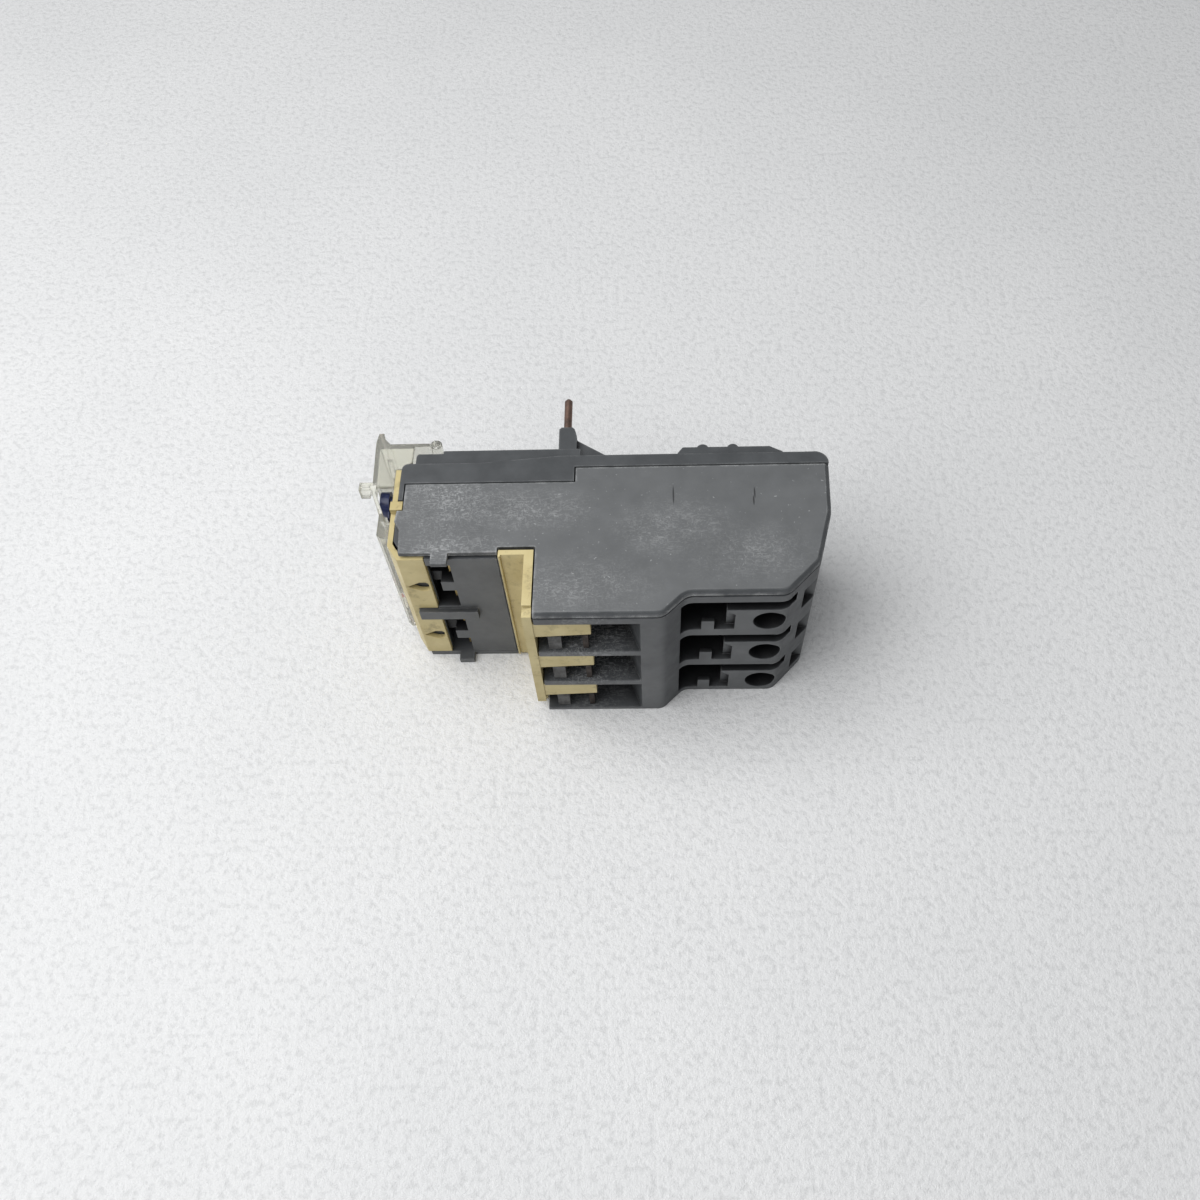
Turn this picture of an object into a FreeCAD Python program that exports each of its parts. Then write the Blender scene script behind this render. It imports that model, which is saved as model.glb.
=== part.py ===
"""Thermal overload relay, 45 mm module, lying on its side wall.

X runs from the front (buttons, -X) to the rear, Y from the power terminals (-Y) to the
contactor pins (+Y), and Z is the module's width.  Every piece is drawn from the power corner,
the corner where the front of the power terminals meets their lower face, and is then moved
so that the origin is the bottom centre of the whole relay.
"""
import FreeCAD, Part
import math
import os
import Sketcher
from FreeCAD import Placement, Rotation, Vector

DRIVING = {
    # running and sliding clearances, and how far cuts and joined pads run past a face
    "running": 0.05, "sliding": 0.1, "loose": 0.3, "press": 0.02, "past": 1.0, "bite": 0.5,
    # case
    "width": 45.0, "front_reach": 29.4, "band_step": 1.3, "control_reach": 8.1,
    "rear_reach": 63.9, "top_level": 41.2, "band_level": 39.6, "control_level": 15.2,
    "notch_level": 17.0, "power_length": 27.0, "step_run": 5.0, "vent_level": 5.0,
    "vent_length": 21.0, "rear_cut_run": 7.2, "rear_cut_rise": 7.6, "rear_lean": 0.5,
    "lean_level": 25.0, "corner_radius": 3.0, "bend_radius": 3.5, "rear_radius": 10.0,
    "band_radius": 1.5, "ramp_head": 4.6, "ramp_foot": 13.2, "cheek_run": 1.6,
    "cheek_drop": 3.0, "cheek_toe": 0.4, "cheek_toe_drop": 5.2, "floor_wall": 1.0,
    "roof_wall": 4.0, "divider": 2.0, "side_floor": 1.6, "side_wall": 1.8, "front_wall": 1.5,
    "front_wall_level": 27.0, "chamber_level": 14.5, "chamber_rear": 58.5, "guide_back": 4.0,
    # side cover and its seam
    "cover_thick": 1.8, "cover_seam": 0.25, "cover_inset": 0.6, "cover_front_level": 33.9,
    "cover_step": 8.2, "cover_margin": 0.4, "cover_lift": 0.5, "cover_bevel": 0.9,
    "lug_run": 7.1, "lug_length": 3.6, "lug_drop": 2.8,
    # power recesses and their metalwork
    "recess_length": 22.2, "recess_slope": 5.2, "recess_depth": 12.5,
    "power_screw_level": 7.4, "power_screw_offset": 5.6, "power_head_radius": 3.2,
    "power_head_depth": 2.1, "power_screw_radius": 1.95, "power_screw_tip": 13.4,
    "power_clamp_gap": 0.3, "power_clamp_thick": 2.8, "power_gap": 4.6,
    "power_clamp_low": 0.6, "power_side_gap": 0.4,
    "bar_thick": 1.2, "bar_width": 5.0, "bar_level": 17.6, "bar_low": 0.8,
    # contactor pins and their sleeves
    "pin_place": 5.3, "pin_radius": 0.95, "pin_shank": 2.1, "pin_tip": 65.6, "pin_root": 32.4,
    "pin_taper": 0.6, "pin_point_radius": 0.5, "sleeve_top": 55.3, "sleeve_length": 3.6,
    "sleeve_width": 5.0, "sleeve_bevel": 0.5, "sleeve_flare": 0.6, "gusset_run": 12.5,
    "gusset_thick": 1.6, "gusset_drop": 2.7, "gusset_toe": 3.5,
    # contactor side: platform, hinge step and rear pad
    "platform_inset": 0.9, "platform_rear": 9.0, "platform_level": 45.4,
    "platform_foot": 3.0, "hinge_step_run": 1.9, "hinge_step_drop": 0.8,
    "pad_front": 30.9, "pad_length": 23.6, "pad_level": 45.3, "pad_slope": 3.0,
    "pad_nose": 1.2, "pad_drop": 1.6, "bead_radius": 1.4, "bead_sink": 0.7,
    "bead_first": 5.7, "bead_pitch": 6.8,
    # vent rows
    "slot_depth": 8.0, "slot_front": 30.8, "slot_reach": 24.5, "slot_height": 3.2,
    "slot_drop": 0.2, "window_length": 11.7, "window_sill": 0.5, "window_lip": 1.8,
    "window_slant": 2.2, "window_shoulder": 0.4, "tab_place": 4.5, "tab_length": 2.8,
    "tab_height": 3.5, "tab_depth": 1.5, "vent_hole_place": 49.9, "vent_hole_radius": 3.5,
    "vent_hole_height": 3.9, "rear_notch_length": 3.0, "rear_notch_rise": 0.4,
    "rear_notch_low": 1.3, "rear_notch_width": 7.7,
    # front panel
    "panel_step": 3.0, "panel_thick": 1.15, "strip_run": 5.2, "strip_thick": 1.2,
    "panel_chamfer_run": 2.4, "panel_chamfer_rise": 3.8, "panel_top_gap": 0.3,
    "panel_bend_run": 0.6, "panel_bend_rise": 0.4, "notch_height": 3.4, "notch_length": 4.8,
    "notch_flat": 2.0, "notch_round": 0.6, "notch_inset": 0.5, "clip_low": 27.0,
    "clip_high": 29.7, "clip_depth": 2.0, "clip_gap": 0.2, "clip_short": 0.4,
    # push buttons and their springs
    "button_level": 34.65, "reset_inset": 6.9, "stop_height": 8.7, "cap_radius": 2.9,
    "cap_depth": 2.2, "stem_radius": 1.9, "button_travel": 1.8, "flange_half": 2.8,
    "flange_depth": 0.8, "tip_half": 0.75, "tip_proud": 0.2, "pointer_reach": 1.6,
    "pointer_half": 1.0, "pointer_thick": 0.4, "cap_slot_half": 2.0, "cap_slot_depth": 0.7,
    "screw_slot": 0.8, "spring_room": 8.4, "spring_wall_thick": 1.5,
    "spring_wall_level": 30.6, "spring_wire": 0.28, "spring_radius": 1.6,
    "spring_turns": 3.0,
    # setting dial
    "dial_level": 32.5, "dial_radius": 5.5, "dial_depth": 2.4, "dial_shaft_radius": 2.0,
    "dial_square": 2.6, "dial_shaft_length": 6.8, "dial_slot_half": 3.4,
    "dial_slot_width": 1.2, "cam_radius": 4.0, "cam_offset": 1.0, "cam_thick": 2.5,
    # control terminals
    "control_margin": 4.6, "barrier_gap": 4.2,
    "control_screw_level": 22.5, "wire_hole_length": 5.2, "wire_hole_width": 6.8,
    "block_level": 26.8, "nose_gap": 0.2, "tail_thick": 1.0, "tail_width": 4.0,
    "tail_level": 30.0, "tail_rise": 2.0, "control_head_radius": 2.5,
    "control_head_depth": 1.7, "control_screw_radius": 1.45, "control_screw_proud": 0.9,
    "control_clamp_thick": 1.2, "control_clamp_width": 6.0, "control_travel": 4.2,
    "control_gap": 4.6, "clamp_groove_depth": 0.3, "clamp_groove_width": 0.6,
    "clamp_groove_place": 1.8, "clamp_space_low": 3.6, "head_room": 0.6, "tip_room": 2.2,
    "block_roof": 1.0, "barrier_inset": 0.8, "barrier_length": 13.6, "barrier_proud": 1.2,
    "barrier_thick": 3.2, "web_length": 3.0,
    # trip mechanism
    "bimetal_front": 8.2, "bimetal_rear": 52.0, "bimetal_low": 21.5, "bimetal_high": 30.5,
    "bimetal_thick": 1.0, "heater_front_gap": 8.0, "heater_rear_gap": 7.0,
    "heater_wall": 0.5, "heater_wire": 0.5, "heater_turns": 6, "heater_wire_width": 1.4,
    "heater_margin": 1.0, "lead_width": 2.4, "lead_back": 1.0, "tail_lap": 1.0,
    "tail_strip": 0.8, "tail_strip_width": 2.0, "slide_front": 5.6, "slide_length": 6.4,
    "slide_thick": 1.4, "slide_window_gap": 0.8, "trip_slide_level": 23.4,
    "differential_level": 26.6, "slide_travel": 2.0, "slide_foot": 3.0, "push_gap": 0.2,
    "differential_short": 1.5, "lever_level": 32.2, "lever_inset": 3.9, "lever_half": 1.4,
    "trunnion_radius": 1.0, "arm_thick": 1.4, "arm_width": 2.0, "arm_down": 9.0,
    "arm_up": 4.8, "lever_rear": 8.0, "bearing_drop": 2.4, "rocker_room": 3.0,
    "rocker_width": 4.0, "rocker_level": 31.5, "rocker_thick": 2.9, "rocker_gap": 1.6,
    "rocker_hub": 1.5, "rocker_crown": 0.6, "rocker_pin_radius": 0.8, "bridge_thick": 0.8,
    "bridge_lap": 1.0, "bridge_side": 0.5, "contact_shift": 1.0, "trip_angle": 6.0,
    "contact_half": 0.9, "contact_height": 0.6,
    # terminal shroud
    "shroud_gap": 0.3, "shroud_front_gap": 0.2, "plate_thick": 2.0, "flange_thick": 1.2,
    "flange_drop": 0.8, "flange_lip": 0.5, "plate_low": 0.1, "plate_level": 2.5,
    "plate_inset": 3.4, "shroud_head_gap": 0.9, "tongue_length": 11.8, "tongue_width": 5.6,
    "tongue_tip_low": 1.0, "tongue_tip_high": 0.4, "tongue_drop": 0.1, "tongue_low": 0.3,
    "tongue_depth": 2.6, "driver_gap": 0.5,
    # clear flap
    "hinge_run": 4.3, "hinge_level": 47.2, "barrel_radius": 1.3, "clear_wall": 0.9,
    "clear_foot": 3.0, "clear_step": 8.8, "clear_low": 21.6, "lip_rise": 3.6,
    "lip_front": 0.4, "lip_rear": 1.6, "lip_foot_run": 1.9, "lip_foot_rise": 2.0,
    "lip_end": 3.4, "brow_rise": 1.2, "slant_run": 0.5, "slant_drop": 13.2, "chin_run": 2.8,
    "chin_drop": 19.4, "bar_height": 3.6, "bar_bevel": 1.0, "side_drop": 11.6,
    "side_run": 0.7, "side_back": 0.8, "side_bevel": 2.0, "ear_gap": 0.3, "ear_width": 2.3,
    "ear_radius": 1.4, "knuckle_width": 3.7, "knuckle_run": 2.0, "hinge_pin_radius": 0.75,
    "eye_reach": 2.6, "eye_height": 2.2, "eye_drop": 0.9, "eye_width": 3.4,
    "rib_run": 3.0, "rib_rise": 3.6, "rib_length": 5.2, "rib_lean": 1.5, "rib_thick": 1.0,
    "rib_depth": 1.2, "window_reach": 0.6, "window_fall": 2.2, "window_bevel": 1.0,
    "window_run": 3.6,
}


class Size:
    """A length that knows its number and the sheet expression it comes from."""

    def __init__(self, number, text):
        self.number = float(number)
        self.text = text

    def joined(self, other, sign, number, turned=False):
        first, second = (size(other), self) if turned else (self, size(other))
        return Size(number(first.number, second.number), f"({first.text} {sign} {second.text})")

    def __add__(self, other):
        return self.joined(other, "+", lambda one, two: one + two)

    def __radd__(self, other):
        return self.joined(other, "+", lambda one, two: one + two, True)

    def __sub__(self, other):
        return self.joined(other, "-", lambda one, two: one - two)

    def __rsub__(self, other):
        return self.joined(other, "-", lambda one, two: one - two, True)

    def __mul__(self, other):
        return self.joined(other, "*", lambda one, two: one * two)

    def __rmul__(self, other):
        return self.joined(other, "*", lambda one, two: one * two, True)

    def __truediv__(self, other):
        return self.joined(other, "/", lambda one, two: one / two)

    def __neg__(self):
        return size(0) - self


def size(value):
    """A plain number as a Size, or a Size as it is."""
    return value if isinstance(value, Size) else Size(value, f"{float(value):.6f}")


doc = FreeCAD.newDocument("overload_relay")
sheet = doc.addObject("Spreadsheet::Sheet", "Sheet")
for row, (alias, value) in enumerate(DRIVING.items(), start=1):
    sheet.set(f"A{row}", alias)
    sheet.set(f"B{row}", str(value))
    sheet.setAlias(f"B{row}", alias)
doc.recompute()


class Sizes:
    """Every alias of the sheet as a Size."""

    def __getattr__(self, alias):
        return Size(sheet.get(alias), f"Sheet.{alias}")


S = Sizes()

# Places that several pieces share, worked out from the driving sizes.
ROW_HEIGHT = (S.width - S.floor_wall - S.roof_wall - 2 * S.divider) / 3
POLE_PITCH = ROW_HEIGHT + S.divider
INNER_HEAD = S.width - S.cover_thick
PLATFORM_HEAD = S.width - S.platform_foot
CLEAR_HEAD = S.width - S.clear_foot
BAND_FRONT = -S.front_reach - S.band_step
FRONT_INSIDE = BAND_FRONT + S.front_wall
BAY_HEAD = S.band_level - S.side_wall
PANEL_FRONT = -S.front_reach - S.panel_step
PANEL_BACK = PANEL_FRONT + S.panel_thick
FLAP_FRONT = -S.front_reach - S.clear_step
CLEAR_FRONT = FLAP_FRONT - S.eye_reach
PLATFORM_FRONT = -S.front_reach + S.platform_inset
HINGE = PLATFORM_FRONT + S.hinge_run
STEP_REAR = HINGE + S.hinge_step_run
LUG_FRONT = -S.front_reach + S.lug_run
LUG_REAR = LUG_FRONT + S.lug_length
ORIGIN_X = (CLEAR_FRONT + S.rear_reach) / 2
ORIGIN_Y = S.pin_tip / 2
VENT_FRONT = S.power_length + S.step_run
VENT_REAR = VENT_FRONT + S.vent_length
REAR_CUT_X = VENT_REAR + S.rear_cut_run
REAR_CUT_Y = S.vent_level + S.rear_cut_rise
COVER_REAR = S.top_level - S.corner_radius - S.cover_margin
HINGE_STEP = S.platform_level - S.hinge_step_drop
SPRING_WALL = -S.front_reach + S.spring_room
WALL_REAR = SPRING_WALL + S.spring_wall_thick
ROCKER_FRONT = WALL_REAR + S.rocker_room
ROCKER_REAR = ROCKER_FRONT + S.rocker_width
FLANGE = FRONT_INSIDE + 2 * S.sliding
SLIDE_REAR = S.slide_front + S.slide_length
CLAMP_PLACE = S.power_head_depth + S.power_clamp_gap
BAR_PLACE = CLAMP_PLACE + S.power_clamp_thick + S.power_gap
SHROUD_REAR = -S.shroud_gap
STRIP_REAR = -S.front_reach + S.strip_run
BLOCK_STEP = STRIP_REAR + S.sliding
TAIL_PLACE = BLOCK_STEP + S.wire_hole_length - S.tail_thick
CONTROL_CLAMP = TAIL_PLACE - S.control_gap - S.control_clamp_thick
CONTROL_MIDDLE = S.floor_wall + POLE_PITCH + ROW_HEIGHT / 2
CONTROL_INNER = S.barrier_thick / 2 + S.barrier_gap
CONTROL_OUTER = (INNER_HEAD - S.side_floor) / 2 - S.control_margin
CONTROL_HEIGHTS = (CONTROL_MIDDLE - CONTROL_OUTER, CONTROL_MIDDLE - CONTROL_INNER,
                   CONTROL_MIDDLE + CONTROL_INNER, CONTROL_MIDDLE + CONTROL_OUTER)
RESET_HEIGHT = INNER_HEAD - S.reset_inset
DIAL_HEIGHT = S.width / 2
LEVER_HEIGHT = INNER_HEAD - S.lever_inset
SLIDE_HEAD = LEVER_HEIGHT - S.arm_thick / 2 - S.push_gap
BRIDGE_OFFSET = (CONTROL_INNER + CONTROL_OUTER - S.contact_shift) / 2
BRIDGE_HALF = (CONTROL_OUTER - S.contact_shift - CONTROL_INNER) / 2 + S.bridge_lap


def row_floor(pole):
    """Height of a pole recess's lower wall."""
    return S.floor_wall + pole * POLE_PITCH


def pole_height(pole):
    """Height of a pole's middle, where its contactor pin is."""
    return row_floor(pole) + ROW_HEIGHT / 2


# ---------------------------------------------------------------- drawing helpers

PLANES = {"XY": ("XY_Plane", 1), "XZ": ("XZ_Plane", -1), "YZ": ("YZ_Plane", 1)}
placed = {}


def bind(thing, path, value):
    """Ties one property to the sheet."""
    thing.setExpression(path, size(value).text)


def body(name):
    """A new body; its shape is moved to the relay's origin."""
    made = doc.addObject("PartDesign::Body", name)
    made.Label = name
    bind(made, "Placement.Base.x", -ORIGIN_X)
    bind(made, "Placement.Base.y", -ORIGIN_Y)
    return made


def draw_loop(sketch, points):
    """A closed outline, each corner dimensioned from the origin."""
    first = sketch.GeometryCount
    corners = [(size(across), size(up)) for across, up in points]
    for start, end in zip(corners, corners[1:] + corners[:1]):
        line = Part.LineSegment(Vector(start[0].number, start[1].number, 0),
                                Vector(end[0].number, end[1].number, 0))
        sketch.addGeometry(line)
    count = len(corners)
    for index in range(count):
        here, following = first + index, first + (index + 1) % count
        sketch.addConstraint(Sketcher.Constraint("Coincident", here, 2, following, 1))
    for index, corner in enumerate(corners):
        for kind, length in zip(("DistanceX", "DistanceY"), corner):
            mark = Sketcher.Constraint(kind, -1, 1, first + index, 1, length.number)
            number = sketch.addConstraint(mark)
            bind(sketch, f"Constraints[{number}]", length)


def draw_circle(sketch, across, up, radius):
    """A circle dimensioned from the origin."""
    across, up, radius = size(across), size(up), size(radius)
    round_line = Part.Circle(Vector(across.number, up.number, 0), Vector(0, 0, 1), radius.number)
    ring = sketch.addGeometry(round_line)
    for kind, length in (("DistanceX", across), ("DistanceY", up)):
        number = sketch.addConstraint(Sketcher.Constraint(kind, -1, 1, ring, 3, length.number))
        bind(sketch, f"Constraints[{number}]", length)
    number = sketch.addConstraint(Sketcher.Constraint("Radius", ring, radius.number))
    bind(sketch, f"Constraints[{number}]", radius)


def new_sketch(owner, name, plane, start, loops=(), circles=()):
    """A sketch on one of the body's own planes, moved along it to start."""
    role, sense = PLANES[plane]
    sketch = owner.newObject("Sketcher::SketchObject", name + "_sketch")
    support = next(item for item in owner.Origin.OriginFeatures if item.Role == role)
    sketch.AttachmentSupport = (support, [""])
    sketch.MapMode = "FlatFace"
    bind(sketch, "AttachmentOffset.Base.z", sense * size(start))
    for points in loops:
        draw_loop(sketch, points)
    for across, up, radius in circles:
        draw_circle(sketch, across, up, radius)
    return sketch


def pad(owner, name, plane, start, end, loops=(), circles=()):
    """Adds material between two levels of a plane."""
    sketch = new_sketch(owner, name, plane, start, loops, circles)
    feature = owner.newObject("PartDesign::Pad", name)
    feature.Profile = sketch
    feature.Reversed = PLANES[plane][1] < 0
    bind(feature, "Length", size(end) - start)
    return feature


def pocket(owner, name, plane, start, end, loops=(), circles=()):
    """Takes material away between two levels of a plane."""
    sketch = new_sketch(owner, name, plane, start, loops, circles)
    feature = owner.newObject("PartDesign::Pocket", name)
    feature.Profile = sketch
    feature.Reversed = PLANES[plane][1] > 0
    bind(feature, "Length", size(end) - start)
    return feature


def repeat(owner, name, features, pitch, count):
    """Repeats features up the width."""
    pattern = owner.newObject("PartDesign::LinearPattern", name)
    pattern.Originals = features
    axis = next(item for item in owner.Origin.OriginFeatures if item.Role == "Z_Axis")
    pattern.Direction = (axis, [""])
    pattern.Occurrences = count
    bind(pattern, "Length", (count - 1) * pitch)
    owner.Tip = pattern
    return pattern


def edges_where(shape, test):
    """Names of the straight edges whose ends pass a test."""
    names = []
    for index, edge in enumerate(shape.Edges, start=1):
        if edge.Curve.TypeId == "Part::GeomLine" and test(edge.BoundBox):
            names.append(f"Edge{index}")
    return names


def round_edges(owner, name, base, radius, test):
    """Rounds the straight edges that pass a test."""
    doc.recompute()
    feature = owner.newObject("PartDesign::Fillet", name)
    feature.Base = (base, edges_where(base.Shape, test))
    bind(feature, "Radius", radius)
    return feature


def bevel_edges(owner, name, base, depth, test):
    """Bevels the straight edges that pass a test."""
    doc.recompute()
    feature = owner.newObject("PartDesign::Chamfer", name)
    feature.Base = (base, edges_where(base.Shape, test))
    bind(feature, "Size", depth)
    return feature


def near(value, target, slack=0.02):
    """True where two lengths agree."""
    return abs(value - size(target).number) < slack


def upright(box, across, up):
    """True for an edge along Z that stands at a place in plan."""
    return near(box.XMin, across) and near(box.XMax, across) and near(box.YMin, up) \
        and near(box.YMax, up)


def rectangle(left, low, right, high):
    """Corners of a rectangle."""
    return [(left, low), (right, low), (right, high), (left, high)]


def put(thing, across, along, up):
    """Places a primitive, and remembers where for node()."""
    placed[thing.Name] = (size(across), size(along), size(up))
    for axis, value in zip("xyz", placed[thing.Name]):
        bind(thing, f"Placement.Base.{axis}", value)
    return thing


def block(name, low, high):
    """A box between two corners."""
    made = doc.addObject("Part::Box", name)
    for side, start, end in zip(("Length", "Width", "Height"), low, high):
        bind(made, side, size(end) - start)
    return put(made, *low)


TURNS = {"X": Rotation(Vector(0, 1, 0), 90), "Y": Rotation(Vector(1, 0, 0), -90),
         "Z": Rotation()}


def rod(name, axis, centre, radius, length):
    """A cylinder from centre along an axis."""
    made = doc.addObject("Part::Cylinder", name)
    made.Placement = Placement(Vector(), TURNS[axis])
    bind(made, "Radius", radius)
    bind(made, "Height", length)
    return put(made, *centre)


def cone(name, centre, low_radius, high_radius, length):
    """A cone along +Y from centre."""
    made = doc.addObject("Part::Cone", name)
    made.Placement = Placement(Vector(), TURNS["Y"])
    bind(made, "Radius1", low_radius)
    bind(made, "Radius2", high_radius)
    bind(made, "Height", length)
    return put(made, *centre)


def cut(name, base, *tools):
    """A base less its tools."""
    made = doc.addObject("Part::Cut", name)
    made.Base = base
    made.Tool = tools[0] if len(tools) == 1 else fuse(name + "_tools", *tools)
    return made


def fuse(name, *parts):
    """Several pieces as one solid."""
    made = doc.addObject("Part::MultiFuse", name)
    made.Shapes = list(parts)
    return made


def node(thing, name):
    """Names a finished piece and moves it to the relay's origin."""
    thing.Label = name
    across, along, _ = placed.get(thing.Name, (size(0), size(0), size(0)))
    bind(thing, "Placement.Base.x", across - ORIGIN_X)
    bind(thing, "Placement.Base.y", along - ORIGIN_Y)
    return thing


# ---------------------------------------------------------------- case

CHEEK = [(-S.front_reach - S.cheek_run, S.clip_low - S.cheek_drop),
         (-S.front_reach - S.cheek_toe, S.clip_low - S.cheek_toe_drop)]


def case_outline():
    """Side view of the case, from its front lower corner round to the rear."""
    return [(-S.front_reach, S.control_level), (-S.control_reach, S.control_level),
            (-S.control_reach, S.notch_level), (0, S.notch_level), (0, 0),
            (S.power_length, 0), (VENT_FRONT, S.vent_level), (VENT_REAR, S.vent_level),
            (REAR_CUT_X, REAR_CUT_Y), (S.rear_reach - S.rear_lean, S.lean_level),
            (S.rear_reach, COVER_REAR), (S.rear_reach, S.top_level), (S.ramp_head, S.top_level),
            (-S.ramp_foot, S.band_level), (BAND_FRONT, S.band_level), (BAND_FRONT, S.clip_low),
            *CHEEK]


def round_bends(owner, base, inset=0):
    """Rounds the bends between the power terminals and the rear wall."""
    bends = [(S.power_length, size(inset)), (VENT_FRONT, S.vent_level + inset),
             (VENT_REAR, S.vent_level + inset), (REAR_CUT_X - inset, REAR_CUT_Y)]
    bent = round_edges(
        owner, f"{owner.Label}_bends_{base.Name}", base, S.bend_radius,
        lambda box: any(upright(box, across, up) for across, up in bends))
    return round_edges(
        owner, f"{owner.Label}_lean_{base.Name}", bent, S.rear_radius,
        lambda box: upright(box, S.rear_reach - S.rear_lean - inset, S.lean_level))


def make_housing():
    """Moulded case: walls, pole recesses, vent rows, platform, sleeves and bearings."""
    case = body("housing")
    outline = pad(case, "case_outline", "XY", 0, S.width, [case_outline()])
    rounded = round_edges(
        case, "case_corner", outline, S.corner_radius,
        lambda box: upright(box, S.rear_reach, S.top_level))
    bent = round_bends(case, rounded)
    round_edges(case, "band_corner", bent, S.band_radius,
                lambda box: upright(box, BAND_FRONT, S.band_level))
    seat_front = -S.front_reach - S.cover_seam
    seat_step = S.cover_step - S.cover_seam
    seat_level = S.cover_front_level + S.cover_seam
    past = S.past
    pocket(case, "cover_seat", "XY", INNER_HEAD, S.width + past, [[
        (PANEL_FRONT, -past), (S.rear_reach + past, -past),
        (S.rear_reach + past, COVER_REAR + S.cover_seam),
        (seat_step, COVER_REAR + S.cover_seam), (seat_step, seat_level),
        (seat_front, seat_level), (seat_front, S.clip_low), (PANEL_FRONT, S.clip_low)]])
    bay_step = S.notch_level + S.side_wall
    bay_front = PANEL_FRONT - 2 * past
    block_rear = -S.control_reach - S.sliding
    pocket(case, "mechanism_bay", "XY", S.side_floor, INNER_HEAD, [[
        (bay_front, S.notch_level / 2), (block_rear, S.notch_level / 2), (block_rear, bay_step),
        (S.side_wall, bay_step), (S.side_wall, S.chamber_level),
        (S.chamber_rear, S.chamber_level), (S.chamber_rear, BAY_HEAD), (FRONT_INSIDE, BAY_HEAD),
        (FRONT_INSIDE, S.front_wall_level), (bay_front, S.front_wall_level)]])
    wall = pad(case, "pole_wall", "XY", S.floor_wall + ROW_HEIGHT, S.floor_wall + POLE_PITCH, [
        rectangle(SLIDE_REAR - S.guide_back / 2, S.chamber_level - S.bite,
                  S.chamber_rear + S.bite, BAY_HEAD + S.bite)])
    repeat(case, "pole_walls", [wall], POLE_PITCH, 2)
    for name, level in (("trip_guide", S.trip_slide_level),
                        ("differential_guide", S.differential_level)):
        pocket(case, name, "XY", S.side_floor, INNER_HEAD, [
            rectangle(SLIDE_REAR - S.guide_back, level - S.sliding, SLIDE_REAR + S.sliding,
                      level + S.slide_thick + S.sliding)])
    recess = pocket(case, "pole_recess", "XY", S.floor_wall, S.floor_wall + ROW_HEIGHT, [[
        (-past, -past), (S.recess_length, -past), (S.recess_length, 0),
        (S.recess_length - S.recess_slope, S.recess_depth), (-past, S.recess_depth)]])
    bar_middle = S.floor_wall + ROW_HEIGHT / 2
    bar_side = S.bar_width / 2 + S.running
    bar_slot = pocket(case, "bar_slot", "XZ", S.recess_depth - past, S.chamber_level + past, [
        rectangle(BAR_PLACE - S.running, bar_middle - bar_side,
                  BAR_PLACE + S.bar_thick + S.running, bar_middle + bar_side)])
    repeat(case, "pole_recesses", [recess, bar_slot], POLE_PITCH, 3)
    lug_level = S.control_level + S.cover_lift - S.lug_drop
    pad(case, "low_lug", "XY", 0, S.side_floor, [
        rectangle(LUG_FRONT, lug_level, LUG_REAR, S.control_level + past)])
    pocket(case, "clip_notch", "XY", INNER_HEAD - S.clip_depth, S.width + past, [
        rectangle(BAND_FRONT - past, S.clip_low, FRONT_INSIDE + S.running, S.clip_high)])
    add_vent_rows(case)
    add_contactor_side(case)
    add_bearings(case)


def add_vent_rows(case):
    """Windows, slots, round holes and rear notches of the step behind the power terminals."""
    sill = S.floor_wall + S.window_sill
    front, right = S.slot_front, S.slot_front + S.window_length
    head = S.floor_wall + ROW_HEIGHT - S.slot_drop
    low = head - S.slot_height
    tab, tab_end = front + S.tab_place, front + S.tab_place + S.tab_length
    mouth_level, vent_floor = S.vent_level - 2 * S.past, S.vent_level + S.slot_depth
    upper = [(front + S.slot_reach, low), (front + S.slot_reach, head), (front, head)]
    mouth = pocket(case, "vent_mouth", "XZ", mouth_level, S.vent_level + S.tab_depth, [[
        (front, sill), (tab, sill), (tab, sill + S.tab_height), (tab_end, sill + S.tab_height),
        (tab_end, sill), (right, sill), (right, low - S.window_slant),
        (right - S.window_lip, low - S.window_shoulder), (right - S.window_lip, low), *upper]])
    well = pocket(case, "vent_well", "XZ", S.vent_level + S.tab_depth - S.bite, vent_floor, [[
        (front, sill), (right - S.window_lip, sill), (right - S.window_lip, low), *upper]])
    hole = pocket(case, "vent_hole", "XZ", mouth_level, vent_floor, circles=[
        (S.vent_hole_place, S.floor_wall + S.vent_hole_height, S.vent_hole_radius)])
    notch_low = S.floor_wall + S.rear_notch_low
    notch = pocket(case, "rear_notch", "XZ", S.vent_level, REAR_CUT_Y + S.rear_notch_rise, [
        rectangle(REAR_CUT_X - S.rear_notch_length, notch_low, S.rear_reach + S.past,
                  notch_low + S.rear_notch_width)])
    repeat(case, "vent_rows", [mouth, well, hole, notch], POLE_PITCH, 3)


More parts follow.
